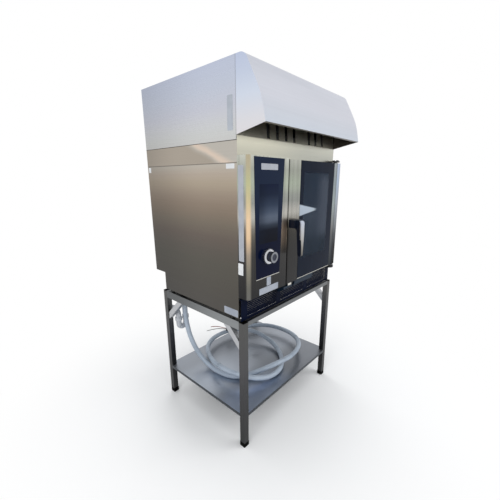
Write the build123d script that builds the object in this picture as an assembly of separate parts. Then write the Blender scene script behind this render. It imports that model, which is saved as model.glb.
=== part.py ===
from build123d import *

import math
import os

# A small combi oven with a condensing extraction hood on top, standing on an open tube stand.
# Lengths are in millimetres. The drawing frame has x to the right, y to the back from the front
# edges of the side panels, and z up from the top of the stand. Each piece is moved when it is
# saved, so that the origin is the middle of the whole part's base.

# Sheet metal and clearances
sheet = 1.5
overrun = 3.0
running_gap = 0.3
spanner_sides = 6
round_sides = 24
body_sides = 12
pin_gap = 0.05

# Oven casing
oven_width = 655.0
oven_depth = 555.0
oven_top = 565.5
oven_foot_height = 11.0
notch_depth = 73.0
notch_top = 91.0
pan_flange = 20.0
top_panel_flange = 15.0
front_return = 20.0

# Cooking cavity and the mouth in front of it
mouth_left_from_left = 285.5
mouth_right_from_right = 65.5
cavity_floor = 124.0
cavity_ceiling = 540.0
cavity_rear_from_rear = 135.0
cavity_corner = 18.0
fan_chamber_left_from_left = 162.5
fan_chamber_front = 21.5
insulation = 25.0

# Hood
spacer_top = 635.0
hood_top = 873.0
canopy_reach = 118.0
canopy_shoulder = 37.0
canopy_belly = 104.0
canopy_belly_share = 0.37
canopy_tip = 673.0
canopy_lip = 12.0
canopy_top_bend = 35.0
canopy_belly_bend = 300.0
canopy_lip_bend = 2.5
cheek_foot = 649.0
fascia_upright = 82.5
fascia_lean = 20.0
slot_width = 17.0
slot_pitch = 54.3
slot_offset = -2.0
slot_foot = 4.0
slot_head = 26.0
slot_places = (-3, -2, -1, 0, 2, 3, 4)
vent_rows = 8
vent_pitch = 14.0
vent_height = 4.0
vent_length = 380.0
vent_top_margin = 30.0

# Stand
stand_side_margin = 2.5
stand_rear_gap = 52.0
stand_height = 565.0
stand_overhang = 26.0
tube = 25.0
tube_wall = 2.0
front_rail_height = 18.0
side_rail_height = 34.0
brace_width = 20.0
brace_band = 35.0
front_brace_reach = 88.0
rear_brace_reach = 115.0
shelf_drop = 407.0
shelf_lip = 14.0
end_cap_thickness = 3.0
end_plug_length = 18.0
stand_foot_height = 20.0
stand_foot_margin = 1.5

# Oven feet
oven_foot_radius = 9.0
oven_foot_stem = 6.0
oven_foot_pad = 6.0
oven_foot_x_from_right = 12.5
oven_foot_front = 45.0
oven_foot_rear_from_rear = 110.0

# Plinth below the console and the door
plinth_set_forward = 13.0
plinth_top = 88.0
plinth_bottom = 3.0
plinth_hem = 6.0
louvre_rows = 10
louvre_columns = 3
louvre_pitch = 7.4
louvre_height = 2.6
louvre_margin = 31.5
louvre_gap = 26.0
louvre_foot = 10.0
drip_left = 0.0
drip_right = 150.0
drip_foot = 58.0
drip_head = 84.0
drip_depth = 10.0
drip_groove = 7.0
spout_left_from_left = 215.5
spout_right_from_left = 273.5
spout_foot = 62.0
spout_head = 86.0
spout_reach = 46.0
spout_nose = 9.0

# Control console at the left
front_plane = 49.0
console_right_from_left = 223.5
console_foot = 95.0
console_head = 587.0
console_corner = 18.0
console_inner_corner = 2.0
panel_left_from_left = 36.5
panel_right_from_left = 184.5
panel_foot = 162.5
panel_head = 583.4
panel_proud = 0.5
panel_rim = 3.5
panel_rim_thickness = 2.0
panel_head_rim = 2.0
display_left_from_left = 55.5
display_right_from_left = 169.5
display_foot = 285.0
display_head = 500.0
display_depth = 8.5
board_thickness = 1.6
board_margin = 12.0
board_foot = 276.0
relay_size = 18.0
relay_count = 4

# Dial on the console
dial_x_from_left = 105.5
dial_z = 240.0
bezel_outer = 29.0
bezel_inner = 21.0
bezel_depth = 3.5
knob_neck = 17.0
knob_gap = 2.7
knob_neck_length = 20.0
knob_face_radius = 20.5
knob_face_inner = 12.5
knob_face_depth = 8.0
knob_dish = 2.0
spindle_radius = 3.0
spindle_length = 36.0
plunger_radius = 5.0
plunger_length = 16.0
plunger_set_forward = 2.0
panel_dial_hole = 6.0
encoder_size = 26.0
encoder_depth = 18.0
dial_travel = 1.5

# Door
door_left_from_left = 229.5
door_foot = 100.0
door_head = 583.0
door_profile_foot = 97.0
door_left_strip = 76.0
door_right_strip_from_right = 73.5
door_back = 3.0
door_nose = 23.0
door_corner = 22.0
door_fold = 2.5
door_back_flange = 18.0
glass_thickness = 4.0
glass_side_gap = 0.3
glass_foot_trim = 2.5
frame_right_from_right = 43.5
frame_depth = 30.5
window_left_from_left = 323.5
window_right_from_right = 115.5
window_foot = 186.0
window_head = 542.0
window_corner = 12.0
inner_glass_left_from_left = 270.5
inner_glass_right_from_right = 45.5
inner_glass_margin = 5.0
inner_glass_corner = 10.0
gasket_width = 12.0

# Door hinges at the right
hinge_pin_radius = 5.0
hinge_pin_length = 20.0
hinge_block_height = 24.0
hinge_block_radius = 19.0
hinge_washer_radius = 9.0
hinge_tongue = 6.0
hinge_washer = 4.7
hinge_leaf = 2.5
hinge_leaf_length = 50.0
hinge_leaf_width = 30.0
hinge_cap_height = 10.0
hinge_cap_radius = 22.0
hinge_bolt_radius = 6.0
hinge_bolt_height = 3.5
hinge_bolt_spacing = 18.0

# Door handle and latch
handle_x_from_left = 258.5
handle_z = 344.0
hub_width = 48.0
hub_height = 32.0
hub_depth = 26.0
hub_corner = 5.0
grip_front = 97.0
grip_foot = 217.0
grip_width = 22.0
grip_foot_width = 15.0
grip_inner_bend = 14.0
grip_outer_bend = 12.0
grip_tip_bend = 6.0
grip_tip_depth = 15.0
strip_thickness = 2.0
strip_width = 20.0
strip_foot_width = 11.0
strip_margin = 5.0
latch_radius = 6.0
latch_depth = 11.0
cam_half_length = 12.0
cam_half_width = 8.0
cam_front = 3.5
cam_thickness = 5.5
latch_gap = 2.0
catch_depth = 14.5
catch_width = 32.0
catch_pin = 4.0
catch_clearance = 0.5

# Fan behind the cavity's left air baffle
fan_z = 332.0
fan_radius = 118.0
fan_hub = 16.0
fan_inner_radius = 78.0
fan_back_from_left = 185.5
fan_front_from_left = 235.5
fan_disc = 2.0
fan_blades = 18
fan_blade_thickness = 2.0
fan_blade_turn = 26.0
fan_blade_bow = 5.0
fan_shaft_radius = 7.0
fan_shaft_start_from_left = 99.5
motor_radius = 62.0
motor_length = 70.0
motor_boss_radius = 10.0
motor_boss_reach = 6.0
motor_stub = 14.0
motor_flange = 4.0
motor_flange_size = 140.0
coil_radius = 136.0
coil_tube = 4.0
coil_sides = 4
coil_runs = 18
coil_rear_from_left = 195.5
coil_front_from_left = 215.5
coil_sweep = 330.0
baffle_left_from_left = 281.0
baffle_front = 34.0
baffle_rear_from_rear = 163.0
baffle_slots = 14
baffle_slot_inner = 22.0
baffle_slot_outer = 66.0
baffle_slot_width = 9.0

# Racks that hold the trays
rack_levels = 6
rack_pitch = 62.0
rack_first = 160.0
rack_front = 36.0
rack_rear_from_rear = 171.0
rack_bar = 5.0
rack_post_gap = 6.0
rack_rail_width = 14.0
rack_rail_height = 8.0
rack_foot = 140.0
rack_head = 520.0

# Drain under the cavity floor
drain_x = 110.0
drain_radius = 19.0
strainer_radius = 28.0
strainer_plate = 2.0
strainer_collar = 12.0
strainer_slots = 4
strainer_pitch = 5.0
strainer_slot = 14.0
strainer_slot_width = 2.5
pipe_radius = 13.0
pipe_sides = 8
bend_runs = 5
pipe_bend = 26.0
pipe_run = 66.0
trap_x_from_left = 84.5
trap_y_from_rear = 90.0
trap_spacing = 40.0
trap_bottom = -205.0
trap_outlet = -112.0
trap_outlet_reach = 50.0
trap_spigot = 20.0
trap_step = 2.0
trap_collar_radius = 17.0
trap_collar_length = 16.0

# Services behind the rear cover
boiler_x_from_left = 72.5
boiler_y_from_rear = 58.0
boiler_radius = 46.0
boiler_height = 230.0
boiler_dome = 14.0
relay_plate_foot = 430.0
relay_plate_height = 100.0
relay_plate_front = 70.0
relay_plate_length = 320.0
relay_block = 45.0
relay_block_depth = 40.0
relay_blocks = 5
inlet_radius = 13.2
inlet_bore = 8.0
inlet_length = 22.0
inlet_flange_radius = 18.0
inlet_flange = 4.0
inlet_z = 50.0
soft_inlet_from_left = 127.5
plain_inlet_from_left = 187.5

# Fan, motor and filter inside the hood
hood_fan_x = 150.0
hood_fan_y_from_rear = 235.0
hood_fan_radius = 95.0
hood_fan_eye = 58.0
hood_fan_hub = 14.0
hood_fan_foot = 738.0
hood_fan_head = 792.0
hood_fan_blades = 9
hood_fan_blade_turn = 38.0
hood_fan_blade_bow = 14.0
hood_motor_radius = 45.0
hood_motor_foot = 800.0
hood_shaft_radius = 6.0
hood_shaft_top = 850.0
filter_margin = 27.5
filter_foot_gap = 8.0
filter_head_gap = 17.0
filter_depth = 25.0
filter_rim = 14.0
filter_blades = 12
filter_blade_width = 22.0

# Flexible conduit, from its gland under the oven to its loose end on the shelf
conduit_radius = 12.0
gland_radius = 17.0
gland_flange = 15.0
gland_nut_radius = 15.0
gland_nut = 16.0
conduit_sides = 8
wire_sides = 6
gland_x = -264.0
gland_y = 438.0
route_width = 655.0
route_depth = 555.0
bend_share = 0.45
sleeve_radius = 14.0
sleeve_length = 50.0
wire_radius = 2.0
wire_spread = 5.0
drop_route = [
    (-264.0, 438.0, -76.0),
    (-261.0, 438.0, -138.0),
    (-255.0, 435.0, -202.0),
    (-247.0, 424.0, -264.0),
    (-237.0, 398.0, -322.0),
    (-227.0, 354.0, -368.0),
    (-221.0, 296.0, -392.0),
]
loop_route = [
    (-217.0, 238.0, -395.0),
    (-203.0, 182.0, -395.0),
    (-166.0, 140.0, -395.0),
    (-114.0, 116.0, -392.0),
    (-66.0, 78.0, -374.0),
    (-18.0, 42.0, -351.0),
    (52.0, 24.0, -348.0),
    (130.0, 34.0, -351.0),
    (204.0, 64.0, -357.0),
    (258.0, 120.0, -362.0),
    (286.0, 192.0, -365.0),
    (289.0, 270.0, -367.0),
    (272.0, 344.0, -369.0),
    (225.0, 402.0, -370.0),
    (158.0, 440.0, -370.0),
    (84.0, 466.0, -368.0),
    (6.0, 480.0, -366.0),
    (-74.0, 470.0, -365.0),
    (-138.0, 430.0, -364.0),
    (-184.0, 366.0, -362.0),
    (-214.0, 290.0, -358.0),
    (-228.0, 208.0, -350.0),
    (-214.0, 130.0, -352.0),
    (-162.0, 70.0, -374.0),
    (-88.0, 38.0, -392.0),
    (-8.0, 36.0, -395.0),
    (62.0, 74.0, -395.0),
    (118.0, 134.0, -391.0),
    (150.0, 210.0, -380.0),
    (152.0, 286.0, -364.0),
    (136.0, 344.0, -354.0),
    (103.0, 392.0, -347.0),
    (66.0, 428.0, -343.0),
]
live_route = [(0.0, 0.0, 0.0), (-14.0, 14.0, 4.0), (-42.0, 28.0, 20.0), (-76.0, 46.0, 23.0)]
return_route = [(0.0, 0.0, 0.0), (-12.0, 14.0, 1.0), (-42.0, 36.0, 8.0), (-96.0, 58.0, 6.0)]

# Places that follow from the sizes above
half = oven_width / 2
inner_half = half - sheet
mouth_left = mouth_left_from_left - half
fan_chamber_left = fan_chamber_left_from_left - half
spout_left = spout_left_from_left - half
spout_right = spout_right_from_left - half
console_right = console_right_from_left - half
panel_left = panel_left_from_left - half
panel_right = panel_right_from_left - half
display_left = display_left_from_left - half
display_right = display_right_from_left - half
dial_x = dial_x_from_left - half
door_left = door_left_from_left - half
window_left = window_left_from_left - half
inner_glass_left = inner_glass_left_from_left - half
handle_x = handle_x_from_left - half
fan_back = fan_back_from_left - half
fan_front = fan_front_from_left - half
fan_shaft_start = fan_shaft_start_from_left - half
baffle_left = baffle_left_from_left - half
trap_x = trap_x_from_left - half
boiler_x = boiler_x_from_left - half
mouth_right = half - mouth_right_from_right
door_right_strip = half - door_right_strip_from_right
frame_right = half - frame_right_from_right
window_right = half - window_right_from_right
inner_glass_right = half - inner_glass_right_from_right
oven_foot_x = half - oven_foot_x_from_right
cavity_rear = oven_depth - cavity_rear_from_rear
oven_foot_rear = oven_depth - oven_foot_rear_from_rear
trap_y = oven_depth - trap_y_from_rear
boiler_y = oven_depth - boiler_y_from_rear
hood_fan_y = oven_depth - hood_fan_y_from_rear
baffle_rear = oven_depth - baffle_rear_from_rear
rack_rear = oven_depth - rack_rear_from_rear
fan_y = cavity_rear / 2
drain_y = cavity_rear / 2
coil_places = (coil_rear_from_left - half, coil_front_from_left - half)
inlet_places = (soft_inlet_from_left - half, plain_inlet_from_left - half)
louvre_length = (oven_width - 2 * louvre_margin - (louvre_columns - 1) * louvre_gap) / louvre_columns
filter_width = oven_width - 2 * filter_margin
canopy_belly_height = canopy_tip + canopy_belly_share * (hood_top - canopy_tip)
fascia_bend = oven_top + fascia_upright
filter_foot = fascia_bend + filter_foot_gap
filter_head = hood_top - filter_head_gap
notch_front = oven_depth - notch_depth
stand_half = half + stand_side_margin
stand_front = -stand_overhang
stand_rear = oven_depth - stand_rear_gap
stand_foot_top = -stand_height + stand_foot_height
across_stretch = oven_width / route_width
along_stretch = oven_depth / route_depth
conduit_x = gland_x * across_stretch
conduit_y = gland_y * along_stretch
hinge_x = half - door_nose
hinge_y = -front_plane + door_nose
door_sheet_back = -front_plane + sheet
glass_back = -front_plane + glass_thickness
frame_back = glass_back + frame_depth
door_left_strip_edge = door_left + door_left_strip
panel_back = -front_plane + sheet + panel_rim_thickness
whole_depth = oven_depth + canopy_reach
middle_y = (oven_depth - canopy_reach) / 2


def block(low, high):
    """A box from its lowest corner to its highest."""
    size = [end - start for start, end in zip(low, high)]
    middle = [(start + end) / 2 for start, end in zip(low, high)]
    return Pos(*middle) * Box(*size)


def outline(points):
    return make_face(Polyline(*points, close=True))


def along_x(face, start, end):
    """A section drawn in y and z, carried along x."""
    return extrude(Plane.YZ.offset(start) * face, end - start)


def along_y(face, start, end):
    """A section drawn in x and z, carried along y."""
    return extrude(Plane.XZ.offset(-end) * face, end - start)


def along_z(face, start, end):
    """A section drawn in x and y, carried along z."""
    return extrude(Plane.XY.offset(start) * face, end - start)


def folded(path, side, gauge=sheet):
    """The section of a sheet folded along a path, with its thickness on one side."""
    return make_face(offset(path, amount=gauge, side=side, kind=Kind.INTERSECTION))


def rod(start, end, radius):
    """A round bar between two points."""
    way = Vector(*end) - Vector(*start)
    return extrude(Plane(origin=start, z_dir=way) * Circle(radius), way.length)


def ring(start, end, outer, inner):
    return rod(start, end, outer) - rod(start, end, inner)


def mitred(points, radius, sides):
    """A bar or a pipe of straight runs, mitred where they meet."""
    path = Polyline(*points)
    face = Plane(origin=path @ 0, z_dir=path % 0) * RegularPolygon(radius, sides)
    return sweep(face, path=path, transition=Transition.RIGHT)


def joined(pieces):
    """Several solids as one node, each still a solid of its own."""
    return Compound(children=[solid for piece in pieces for solid in piece.solids()])


def mirrored(shape):
    return mirror(shape, Plane.YZ)


# Stand


def leg_places():
    for side in (-1, 1):
        for front in (stand_front, stand_rear - tube):
            left = stand_half - tube if side > 0 else -stand_half
            yield left, front


def stand_legs():
    """Four square tubes, open at both ends for the caps and the feet."""
    legs = []
    for left, front in leg_places():
        low = (left, front, stand_foot_top)
        high = (left + tube, front + tube, -end_cap_thickness)
        bore_low = (left + tube_wall, front + tube_wall, stand_foot_top - overrun)
        bore_high = (left + tube - tube_wall, front + tube - tube_wall, overrun)
        legs.append(block(low, high) - block(bore_low, bore_high))
    return joined(legs)


def stand_rails():
    """The top frame: two rails across and two from front to back, let in between the legs."""
    rails = []
    inside = stand_half - tube
    for front in (stand_front, stand_rear - tube):
        low = (-inside, front, -front_rail_height)
        high = (inside, front + tube, 0)
        bore_low = (-inside - overrun, front + tube_wall, -front_rail_height + tube_wall)
        bore_high = (inside + overrun, front + tube - tube_wall, -tube_wall)
        rails.append(block(low, high) - block(bore_low, bore_high))
    for left in (-stand_half, inside):
        low = (left, stand_front + tube, -side_rail_height)
        high = (left + tube, stand_rear - tube, 0)
        bore_low = (left + tube_wall, stand_front, -side_rail_height + tube_wall)
        bore_high = (left + tube - tube_wall, stand_rear, -tube_wall)
        rails.append(block(low, high) - block(bore_low, bore_high))
    return joined(rails)


def brace_section(corner, reach, way):
    """A mitred band at 45 degrees from a leg's face, at corner, to the underside of a rail."""
    near = reach - brace_band
    foot = -side_rail_height
    return outline(
        [
            (corner, foot - near),
            (corner + way * near, foot),
            (corner + way * reach, foot),
            (corner, foot - reach),
        ]
    )


def stand_braces():
    braces = []
    inset = (tube - brace_width) / 2
    for left in (-stand_half + inset, stand_half - inset - brace_width):
        front = brace_section(stand_front + tube, front_brace_reach, 1)
        rear = brace_section(stand_rear - tube, rear_brace_reach, -1)
        braces.append(along_x(front, left, left + brace_width))
        braces.append(along_x(rear, left, left + brace_width))
    return joined(braces)


def stand_shelf():
    """A folded tray, lips down, with its corners cut out around the legs."""
    top = -shelf_drop
    low = (-stand_half, stand_front, top - shelf_lip)
    shelf = block(low, (stand_half, stand_rear, top))
    bore_low = (-stand_half + sheet, stand_front + sheet, top - shelf_lip - overrun)
    shelf -= block(bore_low, (stand_half - sheet, stand_rear - sheet, top - sheet))
    for left, front in leg_places():
        low = (left, front, top - shelf_lip - overrun)
        shelf -= block(low, (left + tube, front + tube, top + overrun))
    return shelf


def stand_end_caps():
    """Black plugs: a flat cap in the top of each leg and a foot below it."""
    caps = []
    for left, front in leg_places():
        plug = tube_wall
        cap = block((left, front, -end_cap_thickness), (left + tube, front + tube, 0))
        low = (left + plug, front + plug, -end_cap_thickness - end_plug_length)
        high = (left + tube - plug, front + tube - plug, -end_cap_thickness)
        caps.append(cap + block(low, high))
        out = stand_foot_margin
        outer_left = -stand_half if left < 0 else left - out
        outer_front = stand_front if front < 0 else front - out
        low = (outer_left, outer_front, -stand_height)
        high = (outer_left + tube + out, outer_front + tube + out, stand_foot_top)
        foot = block(low, high)
        low = (left + plug, front + plug, stand_foot_top)
        high = (left + tube - plug, front + tube - plug, stand_foot_top + end_plug_length)
        caps.append(foot + block(low, high))
    return joined(caps)


# Oven casing


def oven_feet():
    """Six-sided levelling feet that hold the casing a finger's width above the stand."""
    feet = []
    for side in (-1, 1):
        for y in (oven_foot_front, oven_foot_rear):
            x = side * oven_foot_x
            pad = along_z(Pos(x, y) * RegularPolygon(oven_foot_radius, spanner_sides), 0, oven_foot_pad)
            stem = RegularPolygon(oven_foot_stem, spanner_sides)
            feet.append(pad + along_z(Pos(x, y) * stem, oven_foot_pad, oven_foot_height))
    return joined(feet)


def base_pan():
    low, high = oven_foot_height, oven_foot_height + pan_flange
    path = Polyline((-inner_half, high), (-inner_half, low), (inner_half, low), (inner_half, high))
    pan = along_y(folded(path, Side.LEFT), sheet, notch_front - sheet)
    pan -= block(
        (-half, 0, low + sheet), (half, front_return + running_gap, high + overrun)
    )
    hole_low, hole_high = low - overrun, low + overrun
    gland = rod((conduit_x, conduit_y, hole_low), (conduit_x, conduit_y, hole_high), conduit_radius)
    drain = rod((trap_x, trap_y, hole_low), (trap_x, trap_y, hole_high), pipe_radius)
    return pan - gland - drain


def side_panel():
    """The right side panel: one sheet, stepped at the lower rear for the connections."""
    face = outline(
        [
            (0, oven_foot_height),
            (notch_front, oven_foot_height),
            (notch_front, notch_top),
            (oven_depth, notch_top),
            (oven_depth, oven_top),
            (0, oven_top),
        ]
    )
    return along_x(face, inner_half, half)


def rear_cover():
    """The stepped back: the connection ledge, and the upright sheet with its vents."""
    head = oven_top - sheet
    path = Polyline(
        (notch_front, oven_foot_height),
        (notch_front, notch_top),
        (oven_depth, notch_top),
        (oven_depth, head),
    )
    cover = along_x(folded(path, Side.LEFT), -inner_half, inner_half)
    for row in range(vent_rows):
        top = head - vent_top_margin - row * vent_pitch
        low = (-vent_length / 2, oven_depth - sheet - overrun, top - vent_height)
        cover -= block(low, (vent_length / 2, oven_depth + overrun, top))
    for x in inlet_places:
        start = (x, notch_front - sheet - overrun, inlet_z)
        cover -= rod(start, (x, notch_front + overrun, inlet_z), inlet_bore)
    return cover


def top_panel():
    low = oven_top - top_panel_flange
    rear = oven_depth - sheet
    path = Polyline((sheet, low), (sheet, oven_top), (rear, oven_top), (rear, low))
    return along_x(folded(path, Side.RIGHT), -inner_half, inner_half)


def front_frame():
    """The bulkhead behind the console and the door, with the cavity's mouth in it."""
    foot = oven_foot_height + sheet
    fold = foot + pan_flange
    path = Polyline(
        (-inner_half, front_return), (-inner_half, 0), (inner_half, 0), (inner_half, front_return)
    )
    head = oven_top - top_panel_flange
    frame = along_z(folded(path, Side.LEFT), fold, head)
    frame += block((-inner_half, 0, foot), (inner_half, sheet, oven_top))
    frame -= mouth_cut(-overrun, sheet + overrun)
    reach = cam_half_length + latch_gap
    frame -= block(
        (handle_x - reach, -overrun, handle_z - reach), (handle_x + reach, overrun, handle_z + reach)
    )
    low = (display_left, -overrun, display_foot)
    return frame - block(low, (display_right, overrun, display_head))


def mouth_cut(front, rear, grow=0.0):
    """The cavity's mouth as a prism, or one larger all round."""
    width = mouth_right - mouth_left + 2 * grow
    height = cavity_ceiling - cavity_floor + 2 * grow
    middle = Pos((mouth_left + mouth_right) / 2, (cavity_floor + cavity_ceiling) / 2)
    return along_y(middle * RectangleRounded(width, height, cavity_corner + grow), front, rear)


def plinth_grille():
    """A black folded front with rows of fine slots, set forward of the casing."""
    front = -plinth_set_forward
    path = Polyline(
        (0, plinth_top), (front, plinth_top), (front, plinth_bottom),
        (front + plinth_hem, plinth_bottom),
    )
    grille = along_x(folded(path, Side.LEFT), -half, half)
    span = louvre_columns * louvre_length + (louvre_columns - 1) * louvre_gap
    for column in range(louvre_columns):
        left = -span / 2 + column * (louvre_length + louvre_gap)
        for row in range(louvre_rows):
            foot = plinth_bottom + louvre_foot + row * louvre_pitch
            high = (left + louvre_length, front + sheet + overrun, foot + louvre_height)
            grille -= block((left, front - overrun, foot), high)
    return grille


def drip_tray():
    """Black mouldings below the door: the tray's front with its finger groove, and the spout."""
    back = -plinth_set_forward
    tray = outline(
        [
            (back, drip_head),
            (back - drip_depth, drip_head),
            (back - drip_depth, drip_foot + drip_groove),
            (back - drip_depth / 2, drip_foot + drip_groove),
            (back - drip_depth / 2, drip_foot),
            (back, drip_foot),
        ]
    )
    spout = outline(
        [
            (back, spout_head),
            (-spout_reach, spout_head),
            (-spout_reach, spout_head - spout_nose),
            (back - drip_depth, spout_foot),
            (back, spout_foot),
        ]
    )
    return joined([along_x(tray, drip_left, drip_right), along_x(spout, spout_left, spout_right)])


# Console and dial


def console_housing():
    """A stainless shell, rounded down its outer front edge, with the panel's opening."""
    path = FilletPolyline(
        (console_right, 0),
        (console_right, -front_plane),
        (-half, -front_plane),
        (-half, 0),
        radius=[console_inner_corner, console_corner],
    )
    shell = along_z(folded(path, Side.RIGHT), console_foot, console_head)
    inside = path.offset_2d(sheet, side=Side.RIGHT, closed=False)
    lid = make_face([*inside.edges(), Line(inside @ 1, inside @ 0)])
    shell += along_z(lid, console_foot, console_foot + sheet)
    shell += along_z(lid, console_head - sheet, console_head)
    low = (panel_left, -front_plane - overrun, panel_foot)
    return shell - block(low, (panel_right, -front_plane + overrun, panel_head))


def dial_hole(radius, front, rear):
    return rod((dial_x, front, dial_z), (dial_x, rear, dial_z), radius)


def control_glass():
    """The touch panel: flush with the console in its opening, held by a wider rim behind."""
    front = -front_plane - panel_proud
    middle = -front_plane + sheet
    glass = block((panel_left, front, panel_foot), (panel_right, middle, panel_head))
    low = (panel_left - panel_rim, middle, panel_foot - panel_rim)
    glass += block(low, (panel_right + panel_rim, panel_back, panel_head + panel_head_rim))
    return glass - dial_hole(panel_dial_hole, front - overrun, panel_back + overrun)


def display_module():
    low = (display_left, panel_back, display_foot)
    return block(low, (display_right, panel_back + display_depth, display_head))


def control_board():
    """The board behind the display, with its row of relays."""
    front = panel_back + display_depth
    back = front + board_thickness
    low = (display_left - board_margin, front, board_foot)
    board = block(low, (display_right + board_margin, back, display_head + board_margin))
    pitch = (display_head - display_foot) / relay_count
    for place in range(relay_count):
        foot = display_foot + place * pitch
        low = (display_left, back, foot)
        board += block(low, (display_left + relay_size, back + relay_size / 2, foot + relay_size))
    return board


def dial_bezel():
    front = -front_plane - panel_proud
    return ring(
        (dial_x, front - bezel_depth, dial_z), (dial_x, front, dial_z), bezel_outer, bezel_inner
    )


def dial_encoder():
    """The sensor that reads the dial, with a bore for its plunger."""
    reach = encoder_size / 2
    low = (dial_x - reach, panel_back, dial_z - reach)
    body = block(low, (dial_x + reach, panel_back + encoder_depth, dial_z + reach))
    return body - dial_hole(plunger_radius + pin_gap, panel_back - overrun, plunger_end() + overrun)


def plunger_end():
    return panel_back - plunger_set_forward + plunger_length


def encoder_plunger():
    """The sleeve that the dial pushes in; the dial's spindle turns inside it."""
    start = panel_back - plunger_set_forward
    sleeve = dial_hole(plunger_radius, start, plunger_end())
    return sleeve - dial_hole(spindle_radius + pin_gap, start - overrun, plunger_end() - overrun)


def knob_back():
    return -front_plane - panel_proud - knob_gap


def dial_knob():
    """The dark neck with its dished middle and the spindle moulded into it."""
    neck_front = knob_back() - knob_neck_length
    face_front = neck_front - knob_face_depth
    knob = dial_hole(knob_neck, neck_front, knob_back())
    knob += dial_hole(knob_face_inner, face_front + knob_dish, neck_front)
    knob += dial_hole(spindle_radius, knob_back(), knob_back() + spindle_length - knob_neck_length)
    return knob


def dial_ring():
    """The chromed grip ring on the front of the knob."""
    neck_front = knob_back() - knob_neck_length
    start, end = (dial_x, neck_front - knob_face_depth, dial_z), (dial_x, neck_front, dial_z)
    return ring(start, end, knob_face_radius, knob_face_inner)


# Cavity and what is round it


def cavity_liner():
    """The cooking chamber with the fan's chamber at its left, one welded skin."""
    room = block(
        (mouth_left, 0, cavity_floor), (mouth_right, cavity_rear, cavity_ceiling)
    )
    room = fillet(room.edges().filter_by(Axis.Y), cavity_corner)
    side = block(
        (fan_chamber_left, fan_chamber_front, cavity_floor),
        (mouth_left + cavity_corner, cavity_rear, cavity_ceiling),
    )
    skin = block(
        (mouth_left - sheet, sheet, cavity_floor - sheet),
        (mouth_right + sheet, cavity_rear + sheet, cavity_ceiling + sheet),
    )
    skin += block(
        (fan_chamber_left - sheet, fan_chamber_front - sheet, cavity_floor - sheet),
        (mouth_left, cavity_rear + sheet, cavity_ceiling + sheet),
    )
    skin = skin - room - side
    left = fan_chamber_left - sheet - overrun
    right = fan_chamber_left + overrun
    skin -= rod((left, fan_y, fan_z), (right, fan_y, fan_z), motor_boss_radius)
    for place in range(len(coil_places)):
        for y, z in (coil_start(place), coil_end(place)):
            skin -= along_x(Pos(y, z) * RegularPolygon(coil_tube, coil_sides), left, right)
    foot = cavity_floor - sheet - overrun
    return skin - rod((drain_x, drain_y, foot), (drain_x, drain_y, cavity_floor + overrun), drain_radius)


def cavity_insulation():
    """Mineral wool wrapped round the liner, open at the front and round the motor."""
    wrap = block(
        (fan_chamber_left - sheet - insulation, sheet, cavity_floor - sheet - insulation),
        (mouth_right + sheet + insulation, cavity_rear + sheet + insulation,
         oven_top - top_panel_flange),
    )
    wrap -= block(
        (mouth_left - sheet, 0, cavity_floor - sheet),
        (mouth_right + sheet, cavity_rear + sheet, cavity_ceiling + sheet),
    )
    wrap -= block(
        (fan_chamber_left - sheet, 0, cavity_floor - sheet),
        (mouth_left, cavity_rear + sheet, cavity_ceiling + sheet),
    )
    left = fan_chamber_left - sheet - insulation - overrun
    reach = coil_radius + insulation
    low = (left, fan_y - reach, fan_z - reach)
    wrap -= block(low, (fan_chamber_left, fan_y + reach, fan_z + reach))
    foot = cavity_floor - sheet - insulation - overrun
    return wrap - rod((drain_x, drain_y, foot), (drain_x, drain_y, cavity_floor), drain_radius)


def drain_strainer():
    """The sieve in the cavity's floor and the collar under it."""
    foot = cavity_floor - strainer_collar
    centre = Pos(drain_x, drain_y)
    plate = centre * RegularPolygon(strainer_radius, round_sides)
    collar = centre * (RegularPolygon(drain_radius, body_sides) - RegularPolygon(pipe_radius, body_sides))
    sieve = along_z(plate, cavity_floor, cavity_floor + strainer_plate)
    sieve += along_z(collar, foot, cavity_floor)
    for row in range(strainer_slots):
        y = drain_y + (row - (strainer_slots - 1) / 2) * strainer_pitch
        low = (drain_x - strainer_slot / 2, y - strainer_slot_width / 2, foot - overrun)
        top = cavity_floor + strainer_plate + overrun
        sieve -= block(low, (drain_x + strainer_slot / 2, y + strainer_slot_width / 2, top))
    return sieve


def quarter(corner, into, out, radius):
    """The points of a quarter bend, in short runs, from one direction into the next."""
    centre = Vector(*corner) - into * radius + out * radius
    points = []
    for run in range(bend_runs + 1):
        turn = math.pi / 2 * run / bend_runs
        points.append(tuple(centre - out * (radius * math.cos(turn)) + into * (radius * math.sin(turn))))
    return points


def drain_pipe():
    """From under the strainer, back below the cavity, and down to the base pan."""
    top = cavity_floor - strainer_collar
    points = [
        (drain_x, drain_y, top),
        (drain_x, drain_y, pipe_run),
        (trap_x, trap_y, pipe_run),
        (trap_x, trap_y, oven_foot_height),
    ]
    return mitred(points, pipe_radius, pipe_sides)


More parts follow.
